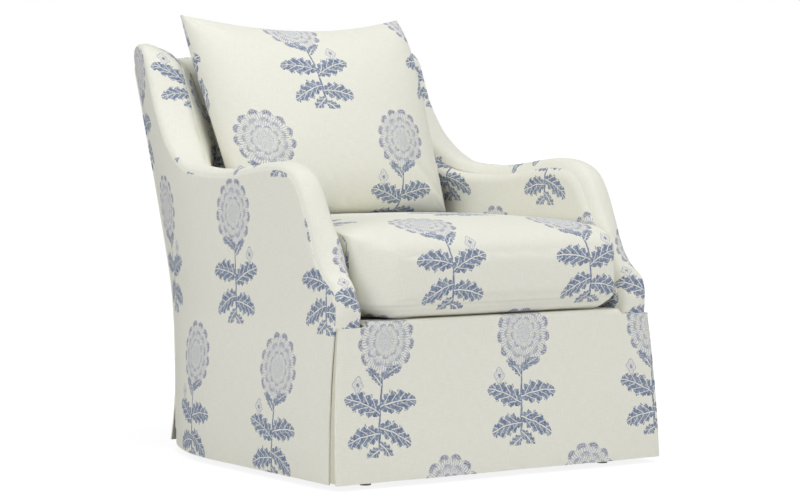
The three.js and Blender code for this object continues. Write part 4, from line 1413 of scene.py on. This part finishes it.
@dataclass
class FrontSkirt:
    """The waterfall skirt panel and the folded cloth behind each corner slit."""

    form: ChairForm
    lip: float = 0.052
    lip_rise: float = 0.011
    tuck: float = 0.0135
    corner_inset: float = 0.003
    pleat_run: float = 0.060
    pleat_gap: float = 0.0009
    pleat_thick: float = 0.002
    post_outer: float = 0.3145
    post_rear: float = 0.7553
    rear_pleat_top: float = 0.218
    touch: float = 0.0003
    ripple: float = 0.0016
    fine_ripple: float = 0.0009
    cut_width: float = 0.79
    print_shift: tuple[float, float] = (0.118, -0.052)

    def wear(self, wardrobe: Wardrobe) -> None:
        """Builds and dresses the skirt and its pleats."""
        skirt = self.panel()
        wardrobe.fit(skirt, "printed_linen", "skirt_front")
        declare_sheet(skirt, (0.80, 0.37), ["front_rail"])
        for side in Side:
            for piece, node, flat in (
                (self.front_pleat(side), "pleat_front", (0.125, 0.30)),
                (self.rear_pleat(side), "pleat_rear", (0.12, 0.21)),
            ):
                # The pleat linen's darker, more olive tone is painted shade inside the corner slits.
                wardrobe.fit(piece, "pleat_linen", f"{node}_{side.word}")
                declare_sheet(piece, flat, ["side_rail_" + side.word])

    def panel(self) -> Piece:
        """Hem to seat edge, then over the rail under the cushion, or turned in under the arm's foot."""
        form = self.form
        face_z = np.linspace(form.hem_gap, form.skirt_top, 50)
        angle = np.linspace(0, math.pi / 2, 14)[1:]
        face = rows_of(form.skirt_y(face_z), face_z, np.zeros_like(face_z))
        turn = rows_of(
            form.skirt_set + self.lip_rise * (1 - np.cos(angle)),
            np.full_like(angle, form.skirt_top),
            np.sin(angle),
        )
        table = np.vstack([face, turn, [form.skirt_set + self.lip, form.skirt_top, 1]])
        rise = form.deck_top - form.skirt_top
        steps = np.diff(table[:, :2] + rows_of(table[:, 2] * 0, table[:, 2] * rise), axis=0)
        run = np.concatenate([[0], np.cumsum(np.linalg.norm(steps, axis=1))])
        total = run[-1]

        def place(s: Array, t: Array) -> Array:
            y, z, lift = (np.interp(t, run / total, table[:, k]) for k in range(3))
            share = 2 * s - 1
            x = share * (form.side_half(z) - self.corner_inset)
            under_arm = smooth((np.abs(x) - form.inner_half + 0.003) / 0.003)
            z = z + lift * rise * (1 - under_arm) + lift * 0.0003 * under_arm
            tucked = form.skirt_set + (y - form.skirt_set) * self.tuck / self.lip
            y = np.where(lift > 0, y + (tucked - y) * under_arm, y)
            low = 1 - smooth(z / 0.24)
            wave = (self.ripple * np.sin(x * 17 + 0.6) + self.fine_ripple * np.sin(x * 43)) * low
            edge = roll_in((1 - np.abs(share)) * 0.4, 0.0022, 0.005) * (lift == 0)
            return form.placed(x, y + wave + edge, z)

        def cut(s: Array, t: Array) -> Array:
            return rows_of((s - 0.5) * self.cut_width, t * total) + np.array(self.print_shift)

        return Cloth("skirt_panel", 150, 110, place, cut, form.cloth, (0, -1, 0)).build()

    def folded(self, name: str, line: Edge, low: float, high: float,
               outward: tuple[float, float, float]) -> Piece:
        """A pleat: one plan line with round folds, carried up from low to high.

        Args:
            name: the piece's name.
            line: the plan places of its face at each height.
            low: its lower edge.
            high: its upper edge.
            outward: the way its face looks.

        Returns:
            The pleat.
        """

        def place(s: Array, t: Array) -> Array:
            z = low + (high - low) * t
            corners = line(z)
            count = corners.shape[1] - 1
            along = np.clip(s * count, 0, count - 1e-9)
            index = along.astype(int)
            share = (along - index)[:, None]
            pick = np.arange(len(s))
            plan = corners[pick, index] * (1 - share) + corners[pick, index + 1] * share
            return self.form.placed(plan[:, 0], plan[:, 1], z)

        def cut(s: Array, t: Array) -> Array:
            return rows_of(s * 2 * self.pleat_run, t * (high - low))

        return Cloth(name, 24, 24, place, cut, self.pleat_thick, outward, (False, False)).build()

    def front_pleat(self, side: Side) -> Piece:
        """Folded cloth behind a front corner slit."""
        form = self.form
        back = form.cloth + self.pleat_gap

        def line(z: Array) -> Array:
            x = form.side_half(z) - back
            y = form.skirt_y(z) + back
            plan = [(x - self.pleat_run, y), (x, y), (x, y + self.pleat_run)]
            return np.stack([np.stack([side.value * a, b], axis=1) for a, b in plan], axis=1)

        low, high = form.hem_gap + form.cloth, form.skirt_top - form.cloth
        return self.folded(f"front_pleat_{side.word}", line, low, high, (side.value, -1, 0))

    def rear_pleat(self, side: Side) -> Piece:
        """Folded cloth behind a rear corner slit, hung from the back post."""
        form = self.form
        back = form.cloth + self.pleat_gap
        post_x = self.post_outer + self.touch + self.pleat_thick
        corner_y = form.body_rear - back

        def line(z: Array) -> Array:
            same = np.ones_like(z)
            plan = [
                (post_x, self.post_rear - 0.026),
                (post_x, self.post_rear),
                (form.half_rear - back, corner_y),
                (form.half_rear - self.pleat_run, corner_y + form.back_stand / 2),
            ]
            return np.stack([np.stack([side.value * a * same, b * same], axis=1) for a, b in plan], axis=1)

        low = form.hem_gap + form.cloth
        return self.folded(f"rear_pleat_{side.word}", line, low, self.rear_pleat_top, (side.value, 1, 0))


def mesh_piece(name: str, points: Array, faces: list[tuple[int, ...]], cuts: Array) -> Piece:
    """A closed piece from its points and faces, with its faces turned outwards.

    Args:
        name: the piece's name.
        points: its places, one in each row.
        faces: the points of each face.
        cuts: the place on the flat cloth of each face's corners, in the faces' order.

    Returns:
        The piece.
    """
    mesh = bpy.data.meshes.new(name)
    mesh.from_pydata([tuple(p) for p in points], [], faces)
    piece = new_object(name, mesh)
    layer = mesh.uv_layers.new(name=CLOTH_MAP)
    layer.data.foreach_set("uv", cuts.astype(np.float32).ravel())
    only(piece)
    edit(bpy.ops.mesh.normals_make_consistent, inside=False)
    return piece


def puff(
    piece: Piece, seams: Sequence[int], pressure: float, frames: int, cap: float, stiffness: float
) -> None:
    """Blows a closed cover up as cloth, and keeps each point within a cap of where it was.

    Args:
        piece: the cover.
        seams: the points along its seams, which stay where they are.
        pressure: pressure inside it.
        frames: how many steps the cloth is given.
        cap: the furthest that a point may move.
        stiffness: how little the cloth stretches.
    """
    mesh = piece.data
    start = places_of(mesh)
    held = piece.vertex_groups.new(name="seams")
    held.add(list(seams), 1.0, "REPLACE")
    cloth = piece.modifiers.new("cloth", "CLOTH")
    settings = cloth.settings
    settings.vertex_group_mass = held.name
    settings.quality = 6
    settings.mass = 0.25
    settings.tension_stiffness = stiffness
    settings.compression_stiffness = stiffness
    settings.shear_stiffness = stiffness / 3
    settings.bending_stiffness = 0.4
    settings.use_pressure = True
    settings.uniform_pressure_force = pressure
    settings.effector_weights.gravity = 0
    cloth.collision_settings.use_collision = False
    cloth.point_cache.frame_start = 1
    cloth.point_cache.frame_end = frames
    scene = bpy.context.scene
    for step in range(1, frames + 1):
        scene.frame_set(step)
    shown = piece.evaluated_get(bpy.context.evaluated_depsgraph_get())
    moved = places_of(shown.data)
    piece.modifiers.remove(cloth)
    piece.vertex_groups.remove(held)
    scene.frame_set(1)
    shift = moved - start
    length = np.linalg.norm(shift, axis=1)[:, None]
    soft = cap * np.tanh(length / cap)
    shift = np.where(length > 1e-9, shift / np.maximum(length, 1e-9) * soft, 0)
    put_places(mesh, start + shift)
    LOG.info("%s: cloth moved up to %.1f mm", piece.name, 1000 * float(np.abs(soft).max()))


def settle(piece: Piece, press: Edge) -> None:
    """Presses a soft piece back from its neighbours."""
    put_places(piece.data, press(places_of(piece.data)))


def finer(piece: Piece, levels: int = 1) -> None:
    """Subdivides a soft piece and shades it smooth."""
    only(piece)
    rounder = piece.modifiers.new("rounder", "SUBSURF")
    rounder.levels = rounder.render_levels = levels
    rounder.uv_smooth = "PRESERVE_BOUNDARIES"
    bpy.ops.object.modifier_apply(modifier=rounder.name)
    bpy.ops.object.shade_smooth()


def inner_copy(cover: Piece, name: str, share: float) -> Piece:
    """The filling of a cover: its shape, drawn in towards its middle.

    Args:
        cover: the cover, before it is subdivided.
        name: the filling's name.
        share: how large the filling is beside the cover.

    Returns:
        The filling.
    """
    core = new_object(name, cover.data.copy())
    core.data.name = name
    points = places_of(core.data)
    middle = (points.min(axis=0) + points.max(axis=0)) / 2
    put_places(core.data, middle + (points - middle) * share)
    only(core)
    bpy.ops.object.shade_smooth()
    return core


def dress_cushion(
    wardrobe: Wardrobe, body: Body, cover: Piece, core: Piece, core_slot: str
) -> None:
    """Dresses a loose cushion's cover and core, and lets both ride on the cushion's body."""
    for piece, part, slot in ((cover, "cover", "printed_linen"), (core, "core", core_slot)):
        wardrobe.fit(piece, slot, f"{body.value}_{part}", body)
        LOG.info("%s: %d faces", piece.name, len(piece.data.polygons))


SEAT_SHARES = (
    (1, 0.01), (1, 0.5), (1, 0.86), (0.99, 0.95), (0.965, 1), (0.75, 1), (0.5, 1), (0.3, 1),
    (0.22, 0.999), (0.16, 0.99), (0.105, 0.97), (0.062, 0.942), (0.03, 0.893), (0.0105, 0.81),
    (0.0025, 0.69), (0, 0.52), (0, 0.34), (0.0008, 0.22), (0.002, 0.17), (0.0034, 0.147),
    (0.0062, 0.134), (0.0165, 0.074), (0.027, 0.016), (0.034, 0.002), (0.05, 0), (0.4, 0),
    (0.75, 0), (0.985, 0),
)


@dataclass
class SeatCushion:
    """Loose box cushion: one wrap over the top and down the front, boxing at its sides."""

    form: ChairForm
    front: float = 0.012
    rear: float = 0.688
    bottom: float = 0.3213
    top: float = 0.497
    half: float = 0.3085
    crown: float = 0.018
    draw: float = 0.002
    corners: tuple[tuple[float, float], ...] = ((0.080, 0.070), (0.055, 0.030))
    under: float = 0.036
    seam_share: float = 0.145
    seam_groove: float = 0.0014
    seam_reach: float = 0.0035
    around: int = 220
    across: int = 66
    side_rings: int = 9
    inset: float = 0.002
    print_shift: tuple[float, float] = (0.118, 0.262)

    def crown_at(self, x: Array, y: Array) -> Array:
        """How far the top stands above its side seams."""
        along = np.clip((y - self.front) / (self.rear - self.front), 0, 1)
        hump = np.sin(np.pi * along**0.8)
        share = np.clip(np.abs(x) / self.half, 0, 1)
        return self.crown * (1 - share**2.1) * hump

    def top_at(self, x: Array, y: Array) -> Array:
        """Height of the top."""
        return self.top + self.crown_at(x, y)

    def outline(self) -> Array:
        """The side view as shares of length and height, stepped most finely at the front."""
        dense = spline(np.array(SEAT_SHARES), 1800, closed=True)
        closed = np.vstack([dense, dense[:1]])
        steps = np.linalg.norm(np.diff(closed, axis=0), axis=1)
        weight = steps * (1 + 3 * np.exp(-((dense[:, 0] / 0.09) ** 2)))
        run = np.concatenate([[0], np.cumsum(weight)])
        wanted = np.linspace(0, run[-1], self.around, endpoint=False)
        return np.stack([np.interp(wanted, run, column) for column in closed.T], axis=1)

    def corner(self, across: float) -> tuple[float, float, float]:
        """Depth and width of the rounded plan corner on one side, and how much of it a ring has passed."""
        back, side = self.corners[int(across > 0)]
        past = (abs(across) * self.half - self.half + side) / side
        return back, side, min(max(past, 0), 1)

    def recess(self, across: float) -> float:
        """How far the front is set back where its corners are rounded in plan."""
        back, _, past = self.corner(across)
        return back * (1 - math.sqrt(1 - past**2))

    def corner_run(self, across: float) -> float:
        """Length of cloth that the rounded plan corner takes beyond the straight way across."""
        back, side, past = self.corner(across)
        share = np.linspace(0, past, 40)
        run = np.hypot(np.diff(side * share), np.diff(back * (1 - np.sqrt(1 - share * share))))
        return float(run.sum() - side * past)

    def ring(self, line: Array, across: float, shrink: float) -> Array:
        """One section of the cushion, at a share across it and shrunk towards its middle."""
        length = self.rear - self.front - 2 * self.inset
        rise = self.top - self.bottom - 2 * self.inset
        back, up = (0.5 + (line[:, k] - 0.5) * shrink for k in range(2))
        set_back = self.recess(across) * (1 - line[:, 0]) ** 3 * shrink
        y = self.front + self.inset + back * length + set_back
        base = self.bottom + self.inset + up * rise
        crown = self.crown_at(np.full_like(y, across * self.half), y) * smooth((line[:, 1] - 0.86) / 0.1)
        low = np.clip(1 - up / self.seam_share, 0, 1) ** 1.3
        drawn = self.draw * np.sin(np.pi * back) * abs(across) + self.under * low * abs(across) ** 5
        x = math.copysign(1, across) * (abs(across) * (self.half - self.inset) - drawn)
        return self.form.placed(x * np.ones_like(y), y, base + crown * shrink)

    def build(self) -> Piece:
        """Makes the cover, blown up between its boxing seams."""
        line = self.outline()
        steps = 2 * clustered(np.linspace(0, 1, self.across)) - 1
        shrinks = np.linspace(1, 0, self.side_rings + 1)[1:-1]
        sections = [
            *((-1, k) for k in shrinks[::-1]),
            *((a, 1) for a in steps),
            *((1, k) for k in shrinks),
        ]
        loops = [self.ring(line, a, k) for a, k in sections]
        count = len(line)
        points = np.vstack([*loops, np.mean(loops[0], axis=0), np.mean(loops[-1], axis=0)])
        first, last = len(shrinks), len(loops) - 1 - len(shrinks)
        faces = []
        boxing = []
        for r in range(len(loops) - 1):
            for k in range(count):
                n = (k + 1) % count
                faces.append((r * count + k, r * count + n, (r + 1) * count + n, (r + 1) * count + k))
                boxing.append(r < first or r >= last)
        end = (len(loops) - 1) * count
        for k in range(count):
            n = (k + 1) % count
            faces += [(len(points) - 2, n, k), (len(points) - 1, end + k, end + n)]
            boxing += [True, True]
        cuts = self.cuts(line, [a for a, _ in sections], points)
        corners = np.concatenate([np.array(face) for face in faces])
        on_side = np.repeat(np.array(boxing), [len(face) for face in faces])
        chosen = np.where(on_side[:, None], cuts[1][corners], cuts[0][corners])
        piece = mesh_piece("seat_cover", points, faces, chosen + np.array(self.print_shift))
        seams = [r * count + k for r in (first, last) for k in range(count)]
        puff(piece, seams, 2.0, 12, 0.003, 40)
        return piece

    def cuts(self, line: Array, across: list[float], points: Array) -> tuple[Array, Array]:
        """Places on the flat cloth, as the wrap that runs on round the front and as the boxing."""
        real = line * np.array([self.rear - self.front, self.top - self.bottom])
        steps = np.linalg.norm(np.diff(np.vstack([real, real[:1]]), axis=0), axis=1)
        run = np.concatenate([[0], np.cumsum(steps)])[:-1]
        front = run[int(np.argmin(np.hypot(line[:, 0] - 0.058, line[:, 1])))]
        rear = run[int(np.argmin(np.hypot(line[:, 0] - 0.5, line[:, 1])))]
        wrap = front - run
        wrap = np.where(run > rear, wrap + steps.sum(), wrap)
        count = len(line)
        across_run = points[:, 0].copy()
        for r, share in enumerate(across):
            extra = math.copysign(self.corner_run(share), share) * (1 - line[:, 0]) ** 3
            across_run[r * count : (r + 1) * count] += extra
        along = np.concatenate([np.tile(wrap, len(across)), [0, 0]])
        side = rows_of(points[:, 1] * np.sign(points[:, 0]), points[:, 2])
        return rows_of(across_run, along), side

    def press(self, points: Array) -> Array:
        """Keeps the cover between the arms and the inside back, and down on the deck."""
        pressed = points.copy()
        limit = self.form.inner_half - 0.0012
        pressed[:, 0] = np.clip(pressed[:, 0], -limit, limit)
        floor = self.bottom + 0.0002
        pressed[:, 2] = np.maximum(pressed[:, 2], floor)
        wall = self.form.inside_back_y(pressed[:, 2]) - 0.002 + self.form.front
        pressed[:, 1] = np.minimum(pressed[:, 1], wall)
        return pressed

    def seam(self, points: Array) -> Array:
        """Draws the cover in along the seam under its front and round its sides."""
        drawn = points.copy()
        z = self.bottom + self.seam_share * (self.top - self.bottom)
        near = np.exp(-(((points[:, 2] - z) / self.seam_reach) ** 2)) * self.seam_groove
        y = points[:, 1] - self.form.front
        left, right = self.corners
        back, side = (np.where(points[:, 0] > 0, *ends) for ends in zip(right, left))
        drawn[:, 1] += near * np.clip(1 - (y - self.front) / back, 0, 1)
        drawn[:, 0] -= np.sign(points[:, 0]) * near * (np.abs(points[:, 0]) > self.half - side)
        return drawn

    def wear(self, wardrobe: Wardrobe) -> None:
        """Builds, fills and dresses the cushion."""
        piece = self.build()
        settle(piece, self.press)
        core = inner_copy(piece, "seat_core", 0.95)
        finer(piece)
        settle(piece, self.seam)
        settle(piece, self.press)
        dress_cushion(wardrobe, Body.SEAT, piece, core, "foam")


@dataclass
class BackPillow:
    """Loose knife-edge pillow with full corners and a dipped top, pressed between the wings."""

    form: ChairForm
    seat: SeatCushion
    width: float = 0.562
    foot: float = 0.612
    head: float = 0.935
    lean: float = 0.46
    thick: float = 0.184
    dip: float = 0.038
    waist_right: float = 0.004
    waist_left: float = 0.010
    foot_right: float = 0.008
    foot_left: float = 0.034
    turn: float = 0.018
    edge: float = 0.003
    sit: float = 0.0055
    columns: int = 84
    rows: int = 72
    print_shift: tuple[float, float] = (0.03, 0.035)

    def drawn_in(self, across: Array, up: Array) -> Array:
        """How far the side edges are drawn in from the full width."""
        middle = 1 - (2 * up - 1) ** 2
        right = self.waist_right * middle + self.foot_right * 4 * up * (1 - up) ** 2
        left = self.waist_left * middle + self.foot_left * (1 - up) ** 1.3
        return np.where(across > 0, right, left)

    def place(self, across: Array, up: Array, face: int) -> Array:
        """Places on one face of the pillow."""
        foot_z = self.seat.top + self.sit
        run = self.head - foot_z
        tilt = math.atan(self.lean)
        x = across * (self.width / 2 - self.drawn_in(across, up))
        reach = up * run - self.dip * (1 - across**2) * up * up
        fullness = 1 - np.abs(2 * up - 1) ** np.where(up < 0.5, 5.0, 2.0)
        rounding = np.where(up < 0.5, 0.36, 0.42)
        body = np.clip(1 - across * across, 0, 1) ** 0.36 * np.clip(fullness, 0, 1) ** rounding
        bulge = face * (self.edge + (self.thick / 2 - self.edge) * body)
        pushed = self.turn * np.maximum(across, 0) * 6.75 * up * up * (1 - up)
        y = self.foot + self.lean * reach + bulge * math.cos(tilt) - pushed
        z = foot_z + reach - bulge * math.sin(tilt)
        return self.form.placed(x, y, z)

    def press(self, points: Array) -> Array:
        """Presses the pillow against the seat, the inside back and the wings."""
        pressed = points.copy()
        y = pressed[:, 1] - self.form.front
        rest = self.seat.top_at(pressed[:, 0], y) + 0.0005
        pressed[:, 2] = np.maximum(pressed[:, 2], rest)
        wall = self.form.inside_back_y(np.minimum(pressed[:, 2], self.form.back_top)) - 0.0009
        pressed[:, 1] = np.minimum(pressed[:, 1], wall + self.form.front)
        side = self.form.filled_x(pressed[:, 1] - self.form.front, pressed[:, 2]) - 0.0009
        beside = pressed[:, 2] < self.form.back_height - self.form.roll_radius
        pressed[:, 0] = np.where(beside, np.clip(pressed[:, 0], -side, side), pressed[:, 0])
        return pressed

    @staticmethod
    def flattened(grid: Array) -> Array:
        """Places on the flat cloth of a face's grid, by length of cloth from its middle and its foot."""
        ways = []
        for axis in (1, 0):
            run = np.cumsum(np.linalg.norm(np.diff(grid, axis=axis), axis=2), axis=axis)
            ways.append(np.insert(run, 0, 0, axis=axis))
        ways[0] -= ways[0][:, grid.shape[1] // 2][:, None]
        return np.stack(ways, axis=2)

    def build(self) -> Piece:
        """Makes the cover: two faces sewn together at a knife edge, blown up within it."""
        index = {}
        shares = []
        for face in (-1, 1):
            for j in range(self.rows + 1):
                for i in range(self.columns + 1):
                    rim = i in (0, self.columns) or j in (0, self.rows)
                    if rim and face == 1:
                        index[face, i, j] = index[-1, i, j]
                        continue
                    index[face, i, j] = len(shares)
                    across = math.sin((i / self.columns * 2 - 1) * math.pi / 2)
                    up = (1 - math.cos(math.pi * j / self.rows)) / 2
                    shares.append((across, up, 0 if rim else face))
        table = np.array(shares)
        placed = np.zeros((len(table), 3))
        for face in (-1, 0, 1):
            mask = table[:, 2] == face
            placed[mask] = self.place(table[mask, 0], table[mask, 1], face)
        faces = []
        corners = []
        for face in (-1, 1):
            flat = self.flattened(np.array([
                [placed[index[face, i, j]] for i in range(self.columns + 1)] for j in range(self.rows + 1)
            ])) * np.array([-face, 1])
            for j in range(self.rows):
                for i in range(self.columns):
                    places = ((i, j), (i + 1, j), (i + 1, j + 1), (i, j + 1))[::-face]
                    faces.append(tuple(index[face, a, b] for a, b in places))
                    corners += [flat[b, a] for a, b in places]
        piece = mesh_piece("pillow_cover", placed, faces, np.array(corners) + np.array(self.print_shift))
        puff(piece, np.flatnonzero(table[:, 2] == 0).tolist(), 3.0, 18, 0.012, 24)
        return piece

    def wear(self, wardrobe: Wardrobe) -> None:
        """Builds, fills and dresses the pillow."""
        piece = self.build()
        settle(piece, self.press)
        core = inner_copy(piece, "pillow_core", 0.93)
        finer(piece)
        settle(piece, self.press)
        dress_cushion(wardrobe, Body.PILLOW, piece, core, "down_fill")


@dataclass
class Filling:
    """Foam pads on the frame: each keeps its packed place, with soft broken edges."""

    form: ChairForm
    voxel: float = 0.008
    slack: float = 0.004
    nodes: tuple[str, ...] = ("arm_padding_right", "arm_padding_left", "back_pad", "deck_pad", "edge_roll")

    def wear(self, wardrobe: Wardrobe) -> None:
        """Builds and dresses every filling."""
        for node in self.nodes:
            piece = self.soften(node)
            wardrobe.fit(piece, "foam", node)
            LOG.info("%s: %d faces", piece.name, len(piece.data.polygons))

    def eased(self, points: Array) -> Array:
        """Follows the arm's inner seam where it leaves the outer one."""
        moved = points.copy()
        y = points[:, 1] - self.form.front
        half = self.form.half_body
        inner = np.clip((half - np.abs(points[:, 0])) / self.form.arm_thick, 0, 1)
        moved[:, 1] -= self.form.ease(points[:, 2]) * inner * smooth((self.form.knee_depth - y) / 0.1)
        on_wing = self.form.arm_crown - self.form.crown_rise(points[:, 2])
        moved[:, 1] += on_wing
        moved[:, 2] -= on_wing
        return self.form.sunk(moved)

    def soften(self, node: str) -> Piece:
        """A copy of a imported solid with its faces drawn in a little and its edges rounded."""
        piece = new_object(f"{node}_fill", frame["nodes"][node].data.copy())
        only(piece)
        edit(bpy.ops.mesh.remove_doubles, threshold=1e-5)
        low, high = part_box(node)
        thin = min(high - low)
        remesh = piece.modifiers.new("remesh", "REMESH")
        remesh.mode = "VOXEL"
        remesh.voxel_size = min(self.voxel, thin / 4)
        bpy.ops.object.modifier_apply(modifier=remesh.name)
        rounder = piece.modifiers.new("rounder", "SMOOTH")
        rounder.factor = 0.5
        rounder.iterations = 6
        bpy.ops.object.modifier_apply(modifier=rounder.name)
        edit(bpy.ops.transform.shrink_fatten, value=-min(self.slack, thin / 8))
        if node.startswith("arm_padding"):
            settle(piece, self.eased)
        bpy.ops.object.shade_smooth()
        return piece


@dataclass
class HiddenCloths:
    """The cotton deck under the seat cushion and the dust cover under the rails."""

    thickness: float = 0.0014
    sag: float = 0.003

    def wear(self, wardrobe: Wardrobe) -> None:
        """Builds and dresses both cloths."""
        for node, slot, rests in (
            ("deck_cloth", "deck_cotton", ["deck_pad"]),
            ("dust_cover", "black_cambric", ["front_rail", "back_rail"]),
        ):
            low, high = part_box(node)
            piece = self.stretched(node, low, high, under=node == "dust_cover")
            wardrobe.fit(piece, slot, node)
            flat = (round(high.x - low.x, 3), round(high.y - low.y, 3))
            declare_sheet(piece, flat, rests)

    def stretched(self, node: str, low: Vector, high: Vector, under: bool) -> Piece:
        """A level cloth over a node's outline, drawn slack between its tacks.

        Args:
            node: the node that it stands for.
            low: the node's lowest corner.
            high: the node's highest corner.
            under: whether its face looks down and hangs a little.

        Returns:
            The cloth.
        """
        width, length = high.x - low.x, high.y - low.y

        def place(s: Array, t: Array) -> Array:
            x, y = low.x + s * width, low.y + t * length
            middle = (np.sin(np.pi * s) * np.sin(np.pi * t)) ** 2
            level = np.full_like(x, low.z if under else high.z - 0.0001)
            points = rows_of(x, y, level)
            soft = 0.0002 * (noise_field(points, 0.09, 23) - 2)
            points[:, 2] += middle * (-self.sag if under else 0) + soft * (0 if under else 1)
            return points

        def cut(s: Array, t: Array) -> Array:
            return rows_of(s * width, t * length)

        facing = (0, 0, -1) if under else (0, 0, 1)
        return Cloth(f"{node}_sheet", 60, 60, place, cut, self.thickness, facing, (False, False)).build()


class SeatFrame:
    """Timber, webbing, zips, legs and glides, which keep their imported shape."""

    def wear(self, wardrobe: Wardrobe) -> None:
        """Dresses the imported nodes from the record's slots."""
        slots = {s["node"]: s["material_slot"] for s in frame["record"]["subparts"]}
        for node, slot in sorted(slots.items()):
            if not frame["nodes"][node].hide_render:
                wardrobe.dress_node(node, slot)
                LOG.info("%s keeps its shape, in %s", node, slot)


@dataclass
class Studio:
    """Pale floor, soft lights and the camera."""

    camera_place: tuple[float, float, float] = (-3.051, -4.662, 0.7205)
    azimuth: float = math.radians(33.88)
    pitch: float = math.radians(2.98)
    lens: float = 117.45
    sensor: float = 36.0
    aim: tuple[float, float, float] = (0.0, 0.0, 0.45)
    floor_size: float = 60
    floor_near: float = 0.88
    floor_far: float = 1.02
    floor_fade: tuple[float, float] = (0.5, 1.5)
    floor_dim: float = 0.2
    floor_bounce: float = 0.78
    sky_level: float = 0.21
    lamps: tuple[tuple[str, tuple[float, float, float], float, float], ...] = (
        ("front_high", (-0.4, -3.8, 3.0), 3.0, 24),
        ("front_low", (0.6, -4.2, 1.0), 2.4, 31),
        ("left", (-4.0, -0.6, 1.8), 2.6, 55),
        ("right", (3.0, -3.0, 2.5), 2.6, 27),
        ("over", (0.0, -0.3, 3.6), 3.0, 53),
        ("over_left", (-2.6, -0.6, 3.0), 2.6, 11),
    )

    def build(self) -> None:
        """Sets the whole studio up."""
        self.camera()
        self.floor()
        self.world()
        for lamp in self.lamps:
            self.lamp(*lamp)
        scene = bpy.context.scene
        scene.view_settings.view_transform = "Standard"

    def camera(self) -> None:
        """The camera at the photograph's viewing angle."""
        data = bpy.data.cameras.new("camera")
        data.lens = self.lens
        data.sensor_width = self.sensor
        holder = new_object("camera", data)
        holder.location = self.camera_place
        holder.rotation_euler = (math.pi / 2 - self.pitch, 0, -self.azimuth)
        bpy.context.scene.camera = holder

    def floor(self) -> None:
        """A white floor that shows as the background, a little dimmer near the chair to keep its shadow."""
        deselect()
        bpy.ops.mesh.primitive_plane_add(size=self.floor_size, location=(0, 0, 0))
        floor = bpy.context.object
        floor.name = "studio_floor"
        material = bpy.data.materials.new("studio_floor")
        material.use_nodes = True
        tree = material.node_tree
        tree.nodes.clear()
        out = tree.nodes.new("ShaderNodeOutputMaterial")
        path = tree.nodes.new("ShaderNodeLightPath")
        seen = tree.nodes.new("ShaderNodeAddShader")
        glow = tree.nodes.new("ShaderNodeEmission")
        spot = tree.nodes.new("ShaderNodeTexCoord")
        away = tree.nodes.new("ShaderNodeVectorMath")
        away.operation = "LENGTH"
        tree.links.new(spot.outputs["Object"], away.inputs[0])
        far = Value(tree, away.outputs["Value"]).step(*self.floor_fade)
        level = far * (self.floor_far - self.floor_near) + self.floor_near
        tree.links.new(level.socket, glow.inputs["Strength"])
        dim, plain = (tree.nodes.new("ShaderNodeBsdfDiffuse") for _ in range(2))
        for cover, grey in ((dim, self.floor_dim), (plain, self.floor_bounce)):
            cover.inputs["Color"].default_value = (grey, grey, grey, 1)
        pick = tree.nodes.new("ShaderNodeMixShader")
        tree.links.new(glow.outputs[0], seen.inputs[0])
        tree.links.new(dim.outputs[0], seen.inputs[1])
        tree.links.new(path.outputs["Is Camera Ray"], pick.inputs[0])
        tree.links.new(plain.outputs[0], pick.inputs[1])
        tree.links.new(seen.outputs[0], pick.inputs[2])
        tree.links.new(pick.outputs[0], out.inputs[0])
        floor.data.materials.append(material)

    def world(self) -> None:
        """White to the camera, soft grey light to the chair."""
        world = bpy.data.worlds.new("studio")
        bpy.context.scene.world = world
        world.use_nodes = True
        tree = world.node_tree
        tree.nodes.clear()
        out = tree.nodes.new("ShaderNodeOutputWorld")
        path = tree.nodes.new("ShaderNodeLightPath")
        rays = ("Is Camera Ray", "Is Glossy Ray", "Is Transmission Ray")
        camera, glossy, through = (Value(tree, path.outputs[ray]) for ray in rays)
        seen = camera.upper(glossy).upper(through)
        soft = tree.nodes.new("ShaderNodeBackground")
        soft.inputs["Color"].default_value = (0.97, 0.985, 1, 1)
        soft.inputs["Strength"].default_value = self.sky_level
        white = tree.nodes.new("ShaderNodeBackground")
        white.inputs["Color"].default_value = (1, 1, 1, 1)
        pick = tree.nodes.new("ShaderNodeMixShader")
        tree.links.new(seen.socket, pick.inputs[0])
        tree.links.new(soft.outputs[0], pick.inputs[1])
        tree.links.new(white.outputs[0], pick.inputs[2])
        tree.links.new(pick.outputs[0], out.inputs[0])

    def lamp(self, name: str, place: tuple[float, float, float], size: float, power: float) -> None:
        """A square soft light that looks at the chair."""
        data = bpy.data.lights.new(name, "AREA")
        data.size = size
        data.energy = power
        holder = new_object(name, data)
        holder.location = place
        towards = Vector(self.aim) - Vector(place)
        holder.rotation_euler = towards.to_track_quat("-Z", "Y").to_euler()


def main() -> None:
    """Builds the studio and the chair."""
    logging.basicConfig(level=logging.INFO, format="%(message)s")
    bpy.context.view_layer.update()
    Studio().build()
    wardrobe = Wardrobe()
    form = ChairForm(front=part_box("skirt_front")[0].y)
    for side in Side:
        ArmUpholstery(side, form).wear(wardrobe)
    BackUpholstery(form).wear(wardrobe)
    FrontSkirt(form).wear(wardrobe)
    seat = SeatCushion(form)
    seat.wear(wardrobe)
    BackPillow(form, seat).wear(wardrobe)
    Filling(form).wear(wardrobe)
    HiddenCloths().wear(wardrobe)
    SeatFrame().wear(wardrobe)
    deselect()
    bpy.context.view_layer.update()


if __name__ == "__main__":
    main()
